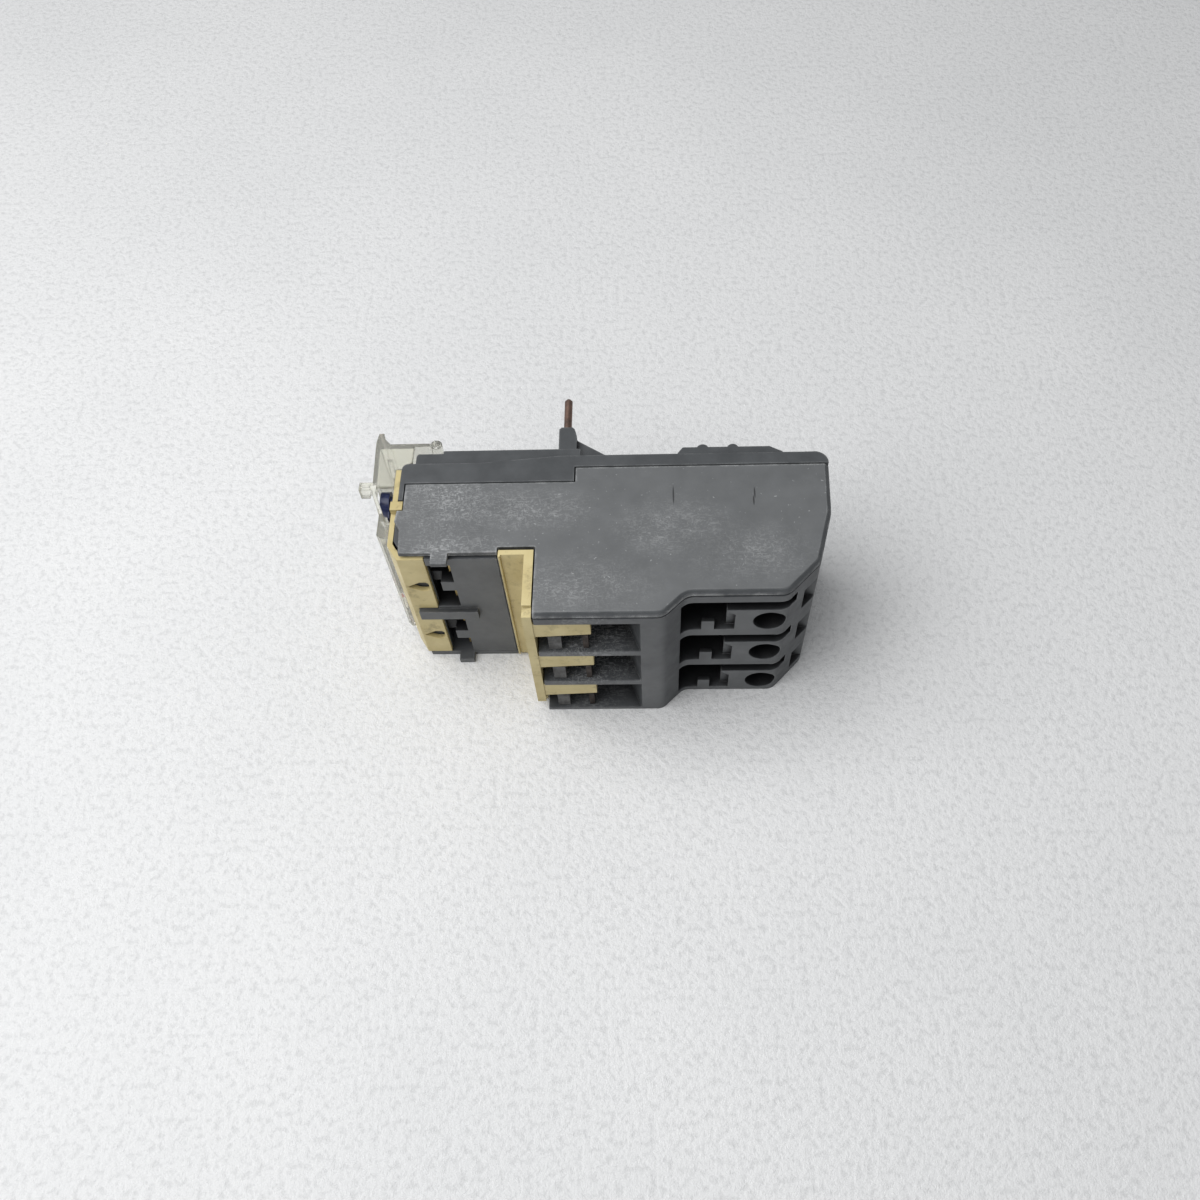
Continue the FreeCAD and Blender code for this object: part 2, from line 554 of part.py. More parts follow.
def add_contactor_side(case):
    """Platform, hinge step and ears, rear pad, and the pin sleeves with their ribs."""
    foot, head = S.platform_foot, PLATFORM_HEAD
    platform = pad(case, "platform", "XY", foot, head, [[
        (PLATFORM_FRONT, S.band_level - S.past), (S.platform_rear, S.band_level - S.past),
        (S.platform_rear, S.platform_level), (STEP_REAR, S.platform_level),
        (STEP_REAR, HINGE_STEP), (PLATFORM_FRONT, HINGE_STEP)]])
    round_edges(case, "platform_corner", platform, S.corner_radius / 3,
                lambda box: upright(box, PLATFORM_FRONT, HINGE_STEP))
    left, right = S.pad_front, S.pad_front + S.pad_length
    pad(case, "rear_pad", "XY", foot, head, [[
        (left, S.top_level - S.past), (right, S.top_level - S.past),
        (right, S.pad_level - S.pad_drop), (right - S.pad_slope, S.pad_level),
        (left + S.pad_nose, S.pad_level), (left, S.pad_level - S.pad_drop)]])
    for number in range(2):
        pad(case, f"pad_bead_{number}", "XY", foot, head, circles=[
            (left + S.bead_first + number * S.bead_pitch, S.pad_level - S.bead_sink,
             S.bead_radius)])
    middle = S.floor_wall + ROW_HEIGHT / 2
    front = S.pin_place - S.sleeve_length / 2
    rear = front + S.sleeve_length
    low, top, bevel = S.platform_level - S.past, S.sleeve_top, S.sleeve_bevel
    sleeve = pad(case, "sleeve", "XY", middle - S.sleeve_width / 2, middle + S.sleeve_width / 2, [[
        (front, low), (rear + S.sleeve_flare, low), (rear + S.sleeve_flare, top - S.gusset_drop),
        (rear, top - bevel), (rear - bevel, top), (front + bevel, top), (front, top - bevel)]])
    rib = pad(case, "sleeve_rib", "XY", middle - S.gusset_thick / 2, middle + S.gusset_thick / 2, [[
        (rear - S.past, S.top_level - S.past), (rear + S.gusset_run, S.top_level - S.past),
        (rear + S.gusset_run, S.top_level + S.gusset_toe),
        (rear + S.sleeve_flare, top - S.gusset_drop), (rear - S.past, top - S.gusset_drop)]])
    half = S.pin_shank / 2 + S.press
    bore = pocket(case, "pin_bore", "XZ", BAY_HEAD - S.past, top + S.past, [
        rectangle(S.pin_place - half, middle - half, S.pin_place + half, middle + half)])
    repeat(case, "sleeves", [sleeve, rib, bore], POLE_PITCH, 3)
    inner = foot + S.knuckle_width + S.ear_gap
    outer = head - S.knuckle_width - S.ear_gap
    for name, start, end in (("low_ear", inner, inner + S.ear_width),
                             ("high_ear", outer - S.ear_width, outer)):
        pad(case, name, "XY", start, end, [
            rectangle(HINGE - S.ear_radius, HINGE_STEP - S.past,
                      HINGE + S.ear_radius, S.hinge_level)])
        pad(case, name + "_round", "XY", start, end,
            circles=[(HINGE, S.hinge_level, S.ear_radius)])
    pocket(case, "ear_bore", "XY", foot, head,
           circles=[(HINGE, S.hinge_level, S.hinge_pin_radius + S.running)])


def add_bearings(case):
    """Walls and holes that guide the buttons, dial, lever and rocker pin."""
    pad(case, "spring_wall", "XY", S.side_floor - S.bite, INNER_HEAD, [
        rectangle(SPRING_WALL, S.spring_wall_level, WALL_REAR, BAY_HEAD + S.bite)])
    lever_end = S.lever_rear + S.loose
    pad(case, "lever_bearing", "XY", LEVER_HEIGHT - S.bearing_drop, INNER_HEAD, [
        rectangle(lever_end, S.lever_level - S.bearing_drop, lever_end + S.front_wall,
                  BAY_HEAD + S.bite)])
    trunnion = S.trunnion_radius + S.running
    pocket(case, "front_holes", "YZ", BAND_FRONT - S.past, FRONT_INSIDE + S.past, circles=[
        (S.button_level, RESET_HEIGHT, S.stem_radius + S.sliding),
        (S.button_level, S.stop_height, S.stem_radius + S.sliding),
        (S.dial_level, DIAL_HEIGHT, S.dial_shaft_radius + S.running)])
    tip = S.tip_half + S.sliding
    pocket(case, "tip_holes", "YZ", SPRING_WALL - S.past, WALL_REAR + S.past, [
        rectangle(S.button_level - tip, height - tip, S.button_level + tip, height + tip)
        for height in (RESET_HEIGHT, S.stop_height)])
    pocket(case, "wall_holes", "YZ", SPRING_WALL - S.past, WALL_REAR + S.past, circles=[
        (S.rocker_level + S.rocker_thick / 2, CONTROL_MIDDLE, S.rocker_pin_radius + S.press),
        (S.lever_level, LEVER_HEIGHT, trunnion)])
    pocket(case, "lever_hole", "YZ", lever_end - S.past, lever_end + S.front_wall + S.past,
           circles=[(S.lever_level, LEVER_HEIGHT, trunnion)])


def make_side_cover():
    """Flat plate that closes the case, with a step, a lug and a groove under its edge."""
    cover = body("side_cover")
    low = S.control_level + S.cover_lift
    clip = S.clip_low - S.sliding

    def outline(inset):
        front = -S.front_reach + inset
        return [(front, low + inset), (LUG_FRONT + inset, low + inset),
                (LUG_FRONT + inset, low - S.lug_drop + inset),
                (LUG_REAR - inset, low - S.lug_drop + inset),
                (LUG_REAR - inset, low + inset), (-S.control_reach - inset, low + inset),
                (-S.control_reach - inset, S.notch_level + inset),
                (inset, S.notch_level + inset), (inset, inset), (S.power_length, inset),
                (VENT_FRONT, S.vent_level + inset), (VENT_REAR, S.vent_level + inset),
                (REAR_CUT_X - inset, REAR_CUT_Y),
                (S.rear_reach - S.rear_lean - inset, S.lean_level),
                (S.rear_reach - inset, COVER_REAR), (S.cover_step, COVER_REAR),
                (S.cover_step, S.cover_front_level), (front, S.cover_front_level),
                (front, clip), (BAND_FRONT + inset, clip),
                *[(across + inset, up) for across, up in CHEEK]]

    ledge = INNER_HEAD + S.cover_inset
    pad(cover, "cover_ledge", "XY", INNER_HEAD, ledge, [outline(S.cover_inset)])
    skin = pad(cover, "cover_skin", "XY", ledge, S.width, [outline(size(0))])
    bent = round_bends(cover, skin)
    bent = round_bends(cover, bent, S.cover_inset)
    bevel_edges(cover, "cover_rim", bent, S.cover_bevel, is_cover_rim)


def is_cover_rim(box):
    """True for an upper edge of the cover on its power, vent or rear side."""
    on_top = near(box.ZMin, S.width) and near(box.ZMax, S.width)
    below_seam = box.YMax < COVER_REAR.number + S.running.number and box.XMin > -S.sliding.number
    return on_top and below_seam and box.YMin < S.lean_level.number \
        and not near(box.YMin, S.notch_level) and not near(box.XMax, 0)


# ---------------------------------------------------------------- beige mouldings

def make_front_panel():
    """Beige front plate with its lower strip, clip, screw holes and two teardrop notches."""
    panel = body("front_panel")
    foot, head = S.side_floor + S.sliding, INNER_HEAD - S.sliding
    low, strip_top = S.control_level, S.control_level + S.strip_thick
    front, back, past = PANEL_FRONT, PANEL_BACK, S.past
    top = S.band_level - S.panel_top_gap
    bend_x, bend_y = front + S.panel_chamfer_run, low + S.panel_chamfer_rise
    pad(panel, "panel_profile", "XY", foot, head, [[
        (front, bend_y), (bend_x, low), (STRIP_REAR, low), (STRIP_REAR, strip_top),
        (bend_x + S.panel_bend_run, strip_top), (back, bend_y + S.panel_bend_rise),
        (back, top), (front, top)]])
    pad(panel, "panel_clip", "XY", INNER_HEAD - S.clip_depth + S.sliding, S.width - S.clip_gap, [
        rectangle(front, S.clip_low + S.clip_gap, FRONT_INSIDE - S.clip_short,
                  S.clip_high - S.clip_gap)])
    pocket(panel, "panel_holes", "YZ", front - past, back + S.bite, circles=[
        (S.button_level, RESET_HEIGHT, S.stem_radius + S.loose),
        (S.button_level, S.stop_height, S.stem_radius + S.loose),
        (S.dial_level, DIAL_HEIGHT, S.dial_radius + S.loose)])
    pocket(panel, "screw_holes", "YZ", front - past, back + S.bite, circles=[
        (S.control_screw_level, height, S.control_head_radius + S.sliding)
        for height in CONTROL_HEIGHTS])
    half = S.barrier_thick / 2 + S.sliding
    pocket(panel, "barrier_gap", "XZ", low - past, strip_top + past, [
        rectangle(S.barrier_inset - S.front_reach - S.sliding, CONTROL_MIDDLE - half, STRIP_REAR + past,
                  CONTROL_MIDDLE + half)])
    half, rear, turn = S.notch_height / 2, STRIP_REAR - S.notch_inset, S.notch_round
    for name, pair in (("low_notch", CONTROL_HEIGHTS[:2]), ("high_notch", CONTROL_HEIGHTS[2:])):
        height = (pair[0] + pair[1]) / 2
        pocket(panel, name, "XZ", low - past, strip_top + past, [[
            (rear - S.notch_length, height), (rear - S.notch_flat, height - half),
            (rear - turn, height - half), (rear, height - half + turn),
            (rear, height + half - turn), (rear - turn, height + half),
            (rear - S.notch_flat, height + half)]])


def tongue_level(pole):
    """Height of the upper side of a terminal tongue's root."""
    return row_floor(pole) + ROW_HEIGHT - S.tongue_drop


def make_terminal_shroud():
    """Beige moulding in front of the power terminals, with one tapered tongue per pole."""
    shroud = body("terminal_shroud")
    rear, front = SHROUD_REAR, -S.control_reach + S.shroud_front_gap
    web_top = S.notch_level - S.flange_drop
    web_low = web_top - S.flange_thick
    plate_front = rear - S.plate_thick
    pad(shroud, "web", "XY", S.floor_wall, S.width, [[
        (front, web_low - S.flange_lip), (front + S.flange_lip, web_low - S.flange_lip),
        (front + S.flange_lip, web_low), (plate_front, web_low), (plate_front, S.plate_level),
        (rear, S.plate_level), (rear, web_top), (front, web_top)]])
    pad(shroud, "plate_foot", "XY", S.floor_wall + S.plate_inset, S.width - S.shroud_head_gap, [
        rectangle(plate_front, S.plate_low, rear, S.plate_level + S.past)])
    root_high = tongue_level(0)
    root_low = root_high - S.tongue_width
    tongue = pad(shroud, "tongue", "XZ", S.tongue_low, S.tongue_depth, [[
        (rear - S.bite, root_low), (S.tongue_length, root_low + S.tongue_tip_low),
        (S.tongue_length, root_high - S.tongue_tip_high), (rear - S.bite, root_high)]])
    hole = pocket(shroud, "driver_hole", "YZ", plate_front - S.past, rear + S.sliding, circles=[
        (S.power_screw_level, S.floor_wall + S.power_screw_offset,
         S.power_head_radius - S.driver_gap)])
    repeat(shroud, "tongues", [tongue, hole], POLE_PITCH, 3)


# ---------------------------------------------------------------- clear flap

def make_clear_cover():
    """Clear flap over the front: top wall, slanted front, two sides, lip, eye and hinge."""
    flap = body("clear_cover")
    foot, head, wall = S.clear_foot, CLEAR_HEAD, S.clear_wall
    front, level, low = FLAP_FRONT, S.hinge_level, S.clear_low
    inside = PANEL_FRONT - S.loose
    hinge_edge = HINGE - S.knuckle_run
    half = wall / 2
    pad(flap, "flap_profile", "XY", foot, head, [[
        (hinge_edge, level + half), (front + S.lip_end, level + half),
        (front + S.lip_foot_run, level + S.lip_foot_rise), (front + S.lip_rear, level + S.lip_rise),
        (front + S.lip_front, level + S.lip_rise), (front, level + S.brow_rise), (front, level),
        (front + S.slant_run, level - S.slant_drop), (front + S.chin_run, level - S.chin_drop),
        (front + S.chin_run, low + S.bar_bevel), (front + S.chin_run + S.bar_bevel, low),
        (inside, low), (inside, low + S.bar_height),
        (front + S.chin_run + 2 * wall, low + S.bar_height),
        (front + S.chin_run + S.bar_bevel, level - S.chin_drop),
        (front + S.slant_run + wall, level - S.slant_drop), (front + wall, level - half),
        (hinge_edge, level - half)]])
    side_low = level - S.side_drop
    back, corner = inside - S.sliding, PLATFORM_FRONT - S.side_back
    for name, start, end in (("high_side", head - wall, head), ("low_side", foot, foot + wall)):
        pad(flap, name, "XY", start, end, [[
            (front + S.slant_run / 2, level), (front + S.side_run, side_low), (back, side_low),
            (back, S.band_level + S.side_back), (corner - S.side_bevel, S.band_level + S.side_back),
            (corner, S.band_level + S.side_back + S.side_bevel), (corner, level)]])
    rib_x, rib_y = front + S.rib_run, level - S.rib_rise
    pad(flap, "diagonal_rib", "XY", head - wall - S.rib_depth, head, [[
        (rib_x, rib_y), (rib_x + S.rib_thick, rib_y),
        (rib_x + S.rib_lean + S.rib_thick, rib_y - S.rib_length),
        (rib_x + S.rib_lean, rib_y - S.rib_length)]])
    eye_low = side_low - S.eye_drop
    pad(flap, "sealing_eye", "XY", head - S.eye_width, head, [
        rectangle(CLEAR_FRONT, eye_low, front + S.past, eye_low + S.eye_height)])
    knuckle = S.knuckle_width
    reach = knuckle + S.ear_gap + S.ear_width + S.loose
    for name, start, end, pin_start, pin_end in (
            ("low", foot, foot + knuckle, foot + knuckle / 2, foot + reach),
            ("high", head - knuckle, head, head - reach, head - knuckle / 2)):
        pad(flap, name + "_arm", "XY", start, end, [
            rectangle(hinge_edge - S.bite, level - half, HINGE, level + half)])
        pad(flap, name + "_barrel", "XY", start, end,
            circles=[(HINGE, level, S.barrel_radius)])
        pad(flap, name + "_trunnion", "XY", pin_start, pin_end,
            circles=[(HINGE, level, S.hinge_pin_radius)])
    reach, turn = S.cap_radius + S.window_reach, S.window_bevel
    low, top = S.button_level - S.cap_radius - S.window_fall, S.button_level + reach
    pocket(flap, "button_windows", "YZ", front - S.bite, front + S.window_run, [[
        (low, height - reach + turn), (low + turn, height - reach),
        (top - turn, height - reach), (top, height - reach + turn),
        (top, height + reach - turn), (top - turn, height + reach),
        (low + turn, height + reach), (low, height + reach - turn)]
        for height in (RESET_HEIGHT, S.stop_height)])


# ---------------------------------------------------------------- control terminals

def make_contact_block():
    """Dark block with four wire entries, screw tunnels and the middle barrier."""
    made = body("contact_block")
    foot, head = S.side_floor + S.sliding, INNER_HEAD - S.sliding
    rear = -S.control_reach - 2 * S.sliding
    front = PANEL_BACK + S.sliding
    low, past = S.control_level, S.past
    nose = low + S.strip_thick + S.nose_gap
    pad(made, "block_profile", "XY", foot, head, [[
        (front, low + S.panel_chamfer_rise + S.strip_thick), (front + S.panel_chamfer_run, nose),
        (BLOCK_STEP, nose), (BLOCK_STEP, low), (rear, low), (rear, S.block_level),
        (front, S.block_level)]])
    half, barrier = S.barrier_thick / 2, -S.front_reach + S.barrier_inset
    pad(made, "barrier", "XY", CONTROL_MIDDLE - half, CONTROL_MIDDLE + half, [
        rectangle(barrier, low - S.barrier_proud, barrier + S.barrier_length, nose + past)])
    tunnel = TAIL_PLACE + S.tail_thick
    cavity_front = CONTROL_CLAMP - S.control_head_depth - S.head_room
    ceiling = S.block_level - S.block_roof
    level, reach = S.control_screw_level, S.wire_hole_width / 2
    for number, height in enumerate(CONTROL_HEIGHTS, start=1):
        pocket(made, f"wire_hole_{number}", "XZ", low - 2 * past, ceiling, [
            rectangle(BLOCK_STEP, height - reach, tunnel, height + reach)])
        pocket(made, f"clamp_space_{number}", "XY", height - reach, height + reach, [
            rectangle(cavity_front, level - S.clamp_space_low, tunnel, ceiling)])
    for pair, (first, second) in enumerate((CONTROL_HEIGHTS[:2], CONTROL_HEIGHTS[2:]), start=1):
        pocket(made, f"web_step_{pair}", "XZ", low - 2 * past, low + S.web_length, [
            rectangle(BLOCK_STEP, first, tunnel - S.web_length, second)])
    side = S.control_head_radius + S.loose
    pocket(made, "driver_tunnels", "YZ", front - past, cavity_front + S.bite, [
        rectangle(level - side, height - side, level + side, height + side)
        for height in CONTROL_HEIGHTS])
    side = S.control_screw_radius + S.loose
    pocket(made, "tip_holes", "YZ", tunnel - S.bite, tunnel + S.control_travel + S.tip_room, [
        rectangle(level - side, height - side, level + side, height + side)
        for height in CONTROL_HEIGHTS])
    side = S.tail_width / 2 + S.running
    pocket(made, "tail_slots", "XZ", ceiling - past, S.block_level + past, [
        rectangle(TAIL_PLACE - S.running, height - side, tunnel + S.running, height + side)
        for height in CONTROL_HEIGHTS])


def make_control_terminal(number, height):
    """Brass tail with its contact, square clamp plate and M3 screw of one control terminal."""
    level, past = S.control_screw_level, S.past
    low, high = height - S.tail_width / 2, height + S.tail_width / 2
    inward = 1 if number <= 2 else -1
    outer = number in (1, 4)
    contact_height = height + inward * S.contact_shift if outer else height
    contact_place = (ROCKER_FRONT + ROCKER_REAR) / 2
    upright_part = block(f"tail_upright_{number}", (TAIL_PLACE, S.control_level + S.tail_rise, low),
                         (TAIL_PLACE + S.tail_thick, S.tail_level, high))
    arm = block(f"tail_arm_{number}", (TAIL_PLACE, S.tail_level - S.tail_thick, low),
                (ROCKER_REAR, S.tail_level, high))
    contact = block(
        f"tail_contact_{number}",
        (contact_place - S.contact_half, S.tail_level - S.tail_thick / 2,
         contact_height - S.contact_half),
        (contact_place + S.contact_half, S.tail_level + S.contact_height,
         contact_height + S.contact_half))
    tapped = rod(f"tail_hole_{number}", "X", (TAIL_PLACE - past, level, height),
                 S.control_screw_radius + S.running, S.tail_thick + 2 * past)
    whole = fuse(f"tail_parts_{number}", upright_part, arm, contact)
    node(cut(f"tail_cut_{number}", whole, tapped), f"control_tail_{number}")
    half, rear = S.control_clamp_width / 2, CONTROL_CLAMP + S.control_clamp_thick
    plate = block(f"clamp_plate_{number}", (CONTROL_CLAMP, level - half, height - half),
                  (rear, level + half, height + half))
    plate_hole = rod(f"clamp_hole_{number}", "X", (CONTROL_CLAMP - past, level, height),
                     S.control_screw_radius + S.sliding, S.control_clamp_thick + 2 * past)
    groove_low = height - S.clamp_groove_place - S.clamp_groove_width
    groove = block(f"clamp_groove_{number}",
                   (rear - S.clamp_groove_depth, level - half - past, groove_low),
                   (rear + past, level + half + past, groove_low + S.clamp_groove_width))
    node(cut(f"clamp_cut_{number}", plate, plate_hole, groove), f"control_clamp_{number}")
    make_screw(f"control_screw_{number}", CONTROL_CLAMP - S.running - S.control_head_depth, level,
               height, S.control_head_radius, S.control_head_depth, S.control_screw_radius,
               TAIL_PLACE + S.tail_thick + S.control_screw_proud)


def make_screw(name, place, level, height, head_radius, head_depth, radius, tip):
    """Cheese-head screw along the rear direction, with a cross and slot recess."""
    past, half, cross_reach = S.past, S.screw_slot / 2, head_radius * 0.62
    head = rod(name + "_head", "X", (place, level, height), head_radius, head_depth)
    shank = rod(name + "_shank", "X", (place + head_depth / 2, level, height), radius,
                tip - place - head_depth / 2)
    slot = block(name + "_slot", (place - past, level - half, height - head_radius - past),
                 (place + head_depth / 2, level + half, height + head_radius + past))
    cross = block(name + "_cross", (place - past, level - cross_reach, height - half),
                  (place + head_depth / 2, level + cross_reach, height + half))
    node(cut(name + "_cut", fuse(name + "_blank", head, shank), slot, cross), name)


# ---------------------------------------------------------------- poles

def make_pole(pole):
    """Contactor pin, bimetal, heater, terminal bar, clamp and screw of one pole."""
    number = pole + 1
    middle, low = pole_height(pole), row_floor(pole)
    shoulder = S.pin_tip - S.pin_taper
    half = S.pin_shank / 2
    shank = block(f"pin_shank_{number}", (S.pin_place - half, S.pin_root, middle - half),
                  (S.pin_place + half, S.sleeve_top, middle + half))
    free = rod(f"pin_free_{number}", "Y", (S.pin_place, S.sleeve_top - S.bite, middle),
               S.pin_radius, shoulder - S.sleeve_top + S.bite)
    point = cone(f"pin_point_{number}", (S.pin_place, shoulder, middle), S.pin_radius,
                 S.pin_point_radius, S.pin_taper)
    node(fuse(f"pin_parts_{number}", shank, free, point), f"line_pin_{number}")
    half = S.bimetal_thick / 2
    strip = block(f"bimetal_{number}", (S.bimetal_front, S.bimetal_low, middle - half),
                  (S.bimetal_rear, S.bimetal_high, middle + half))
    node(strip, f"bimetal_{number}")
    make_heater(number, middle)
    make_terminal_bar(number, pole)

    level, height = S.power_screw_level, low + S.power_screw_offset
    rear, past, gap = CLAMP_PLACE + S.power_clamp_thick, S.past, S.power_side_gap
    clamp = block(f"clamp_body_{number}", (CLAMP_PLACE, S.power_clamp_low, low + gap),
                  (rear, S.recess_depth - past, low + ROW_HEIGHT - gap))
    relief = tongue_relief(f"clamp_relief_{number}", pole, CLAMP_PLACE, rear)
    hole = rod(f"clamp_bore_{number}", "X", (CLAMP_PLACE - past, level, height),
               S.power_screw_radius + S.sliding, S.power_clamp_thick + 2 * past)
    node(cut(f"power_clamp_cut_{number}", clamp, relief, hole), f"power_clamp_{number}")
    make_screw(f"power_screw_{number}", size(0), level, height, S.power_head_radius,
               S.power_head_depth, S.power_screw_radius, S.power_screw_tip)


def tongue_relief(name, pole, front, rear):
    """Space that a clamp or bar leaves for the shroud's tongue."""
    low = tongue_level(pole) - S.tongue_width - S.loose
    return block(name, (front - S.past, -S.past, low),
                 (rear + S.past, S.tongue_depth + S.loose, low + ROW_HEIGHT))


def make_heater(number, middle):
    """Heater wire wound on an insulating sleeve, with a lead at each end."""
    front, rear = S.bimetal_front + S.heater_front_gap, S.bimetal_rear - S.heater_rear_gap
    low, high = S.bimetal_low - S.loose, S.bimetal_high + S.loose
    inside = S.bimetal_thick / 2 + S.loose
    wall, wire, margin = S.heater_wall, S.heater_wall + S.heater_wire, S.heater_margin
    sleeve = block(f"heater_sleeve_{number}", (front, low - wall, middle - inside - wall),
                   (rear, high + wall, middle + inside + wall))
    turns = int(S.heater_turns.number)
    pitch = (rear - front - 2 * margin - S.heater_wire_width) / (turns - 1)
    wires = []
    for turn in range(turns):
        start = front + margin + turn * pitch
        wires.append(block(f"heater_wire_{number}_{turn}",
                           (start, low - wire, middle - inside - wire),
                           (start + S.heater_wire_width, high + wire, middle + inside + wire)))
    lead = block(f"heater_lead_{number}",
                 (S.pin_place - S.lead_back, S.pin_root - S.bar_thick, middle - S.lead_width / 2),
                 (front + 2 * margin, S.pin_root, middle + S.lead_width / 2))
    tail = block(f"heater_tail_{number}",
                 (rear - S.tail_lap, high + S.sliding, middle - S.tail_strip_width / 2),
                 (S.bimetal_rear + S.bar_thick, high + S.sliding + S.tail_strip,
                  middle + S.tail_strip_width / 2))
    space = block(f"heater_space_{number}", (front - S.past, low, middle - inside),
                  (rear + S.past, high, middle + inside))
    whole = fuse(f"heater_parts_{number}", sleeve, lead, tail, *wires)
    node(cut(f"heater_cut_{number}", whole, space), f"heater_coil_{number}")


def make_terminal_bar(number, pole):
    """Copper bar from the wire clamp, under the bimetal, to the bimetal's rear end."""
    middle, low, past = pole_height(pole), row_floor(pole), S.past
    near_side, far_side = middle - S.bar_width / 2, middle + S.bar_width / 2
    rear, top = BAR_PLACE + S.bar_thick, S.bar_level + S.bar_thick
    end = S.bimetal_rear + S.bar_thick
    leg = block(f"bar_leg_{number}", (BAR_PLACE, S.bar_low, near_side), (rear, top, far_side))
    run = block(f"bar_run_{number}", (BAR_PLACE, S.bar_level, near_side), (end, top, far_side))
    post = block(f"bar_post_{number}", (S.bimetal_rear, S.bar_level, near_side),
                 (end, S.bimetal_high + S.loose + S.sliding, far_side))
    wide = block(f"bar_wide_{number}", (BAR_PLACE, S.bar_low, low + S.power_side_gap),
                 (rear, S.recess_depth - past, far_side))
    relief = tongue_relief(f"bar_relief_{number}", pole, BAR_PLACE, rear)
    tapped = rod(f"bar_hole_{number}", "X",
                 (BAR_PLACE - past, S.power_screw_level, low + S.power_screw_offset),
                 S.power_screw_radius + S.running, S.bar_thick + 2 * past)
    whole = fuse(f"bar_parts_{number}", leg, run, post, wide)
    node(cut(f"bar_cut_{number}", whole, tapped, relief), f"terminal_bar_{number}")


# ---------------------------------------------------------------- controls

def make_button(name, height, pointer):
    """Push button: cap, stem, keeper flange and square tip, moulded as one piece."""
    level, past = S.button_level, S.past
    cap_rear = PANEL_FRONT - S.button_travel - S.sliding
    cap_front = cap_rear - S.cap_depth
    flange_rear = FLANGE + S.flange_depth
    slot, half, tip = S.cap_slot_half, S.screw_slot / 2, S.tip_half
    made = body(name)
    pad(made, name + "_cap", "YZ", cap_front, cap_rear, circles=[(level, height, S.cap_radius)])
    pad(made, name + "_stem", "YZ", cap_rear - S.bite, FLANGE + S.bite,
        circles=[(level, height, S.stem_radius)])
    pad(made, name + "_flange", "YZ", FLANGE, flange_rear, [
        rectangle(level - S.flange_half, height - S.flange_half, level + S.flange_half,
                  height + S.flange_half)])
    pad(made, name + "_tip", "YZ", flange_rear - S.sliding, WALL_REAR + S.tip_proud, [
        rectangle(level - tip, height - tip, level + tip, height + tip)])
    if pointer:
        pad(made, name + "_pointer", "YZ", cap_rear - S.pointer_thick, cap_rear, [
            rectangle(level - S.cap_radius - S.pointer_reach, height - S.pointer_half, level,
                      height + S.pointer_half)])
    pocket(made, name + "_slot", "YZ", cap_front - past, cap_front + S.cap_slot_depth, [
        rectangle(level - slot, height - half, level + slot, height + half)])


def make_spring(name, height):
    """Return spring between a button's flange and the spring wall."""
    start = FLANGE + S.flange_depth + S.spring_wire
    length = SPRING_WALL - S.spring_wire - start
    helix = doc.addObject("Part::Helix", name + "_path")
    bind(helix, "Radius", S.spring_radius)
    bind(helix, "Pitch", length / S.spring_turns)
    bind(helix, "Height", length)
    wire = doc.addObject("Part::RegularPolygon", name + "_wire")
    wire.Polygon = 4
    bind(wire, "Circumradius", S.spring_wire)
    wire.Placement = Placement(Vector(), Rotation(Vector(1, 0, 0), 90))
    bind(wire, "Placement.Base.x", S.spring_radius)
    coil = doc.addObject("Part::Sweep", name + "_coil")
    coil.Sections = [wire]
    coil.Spine = (helix, ["Edge1"])
    coil.Solid = True
    coil.Frenet = True
    coil.Placement = Placement(Vector(), TURNS["X"])
    put(coil, start, S.button_level, height)
    node(coil, name)


def make_dial():
    """Setting dial with its shaft, and the eccentric cam on the shaft's square inner end."""
    level, height, past = S.dial_level, DIAL_HEIGHT, S.past
    back = BAND_FRONT - S.sliding
    front = back - S.dial_depth
    square, slot = S.dial_square / 2, S.dial_slot_half
    dial = body("current_dial")
    pad(dial, "dial_disc", "YZ", front, back, circles=[(level, height, S.dial_radius)])
    pad(dial, "dial_shaft", "YZ", back - S.bite, FRONT_INSIDE,
        circles=[(level, height, S.dial_shaft_radius)])
    pad(dial, "dial_square", "YZ", FRONT_INSIDE - S.bite, back + S.dial_shaft_length, [
        rectangle(level - square, height - square, level + square, height + square)])
    pocket(dial, "dial_slot", "YZ", front - past, front + S.dial_slot_width, [
        rectangle(level - slot, height - S.dial_slot_width / 2, level + slot,
                  height + S.dial_slot_width / 2)])
    cam = body("dial_cam")
    start, side = FRONT_INSIDE + S.loose, square + S.press
    pad(cam, "cam_disc", "YZ", start, start + S.cam_thick,
        circles=[(level + S.cam_offset, height, S.cam_radius)])
    pocket(cam, "cam_bore", "YZ", start - past, start + S.cam_thick + past, [
        rectangle(level - side, height - side, level + side, height + side)])


# ---------------------------------------------------------------- trip mechanism

def make_slide(name, level, head):
    """Comb-shaped slide bar; each window takes the front end of a bimetal."""
    front, rear = S.slide_front, SLIDE_REAR
    window = S.bimetal_front - S.slide_window_gap
    points = [(front, S.slide_foot), (rear, S.slide_foot)]
    half = S.bimetal_thick / 2 + S.loose
    for pole in range(3):
        middle = pole_height(pole)
        low, high = middle - half - S.slide_travel, middle + half
        points += [(rear, low), (window, low), (window, high), (rear, high)]
    points += [(rear, head), (front, head)]
    made = body(name)
    pad(made, name + "_comb", "XZ", level, level + S.slide_thick, [points])


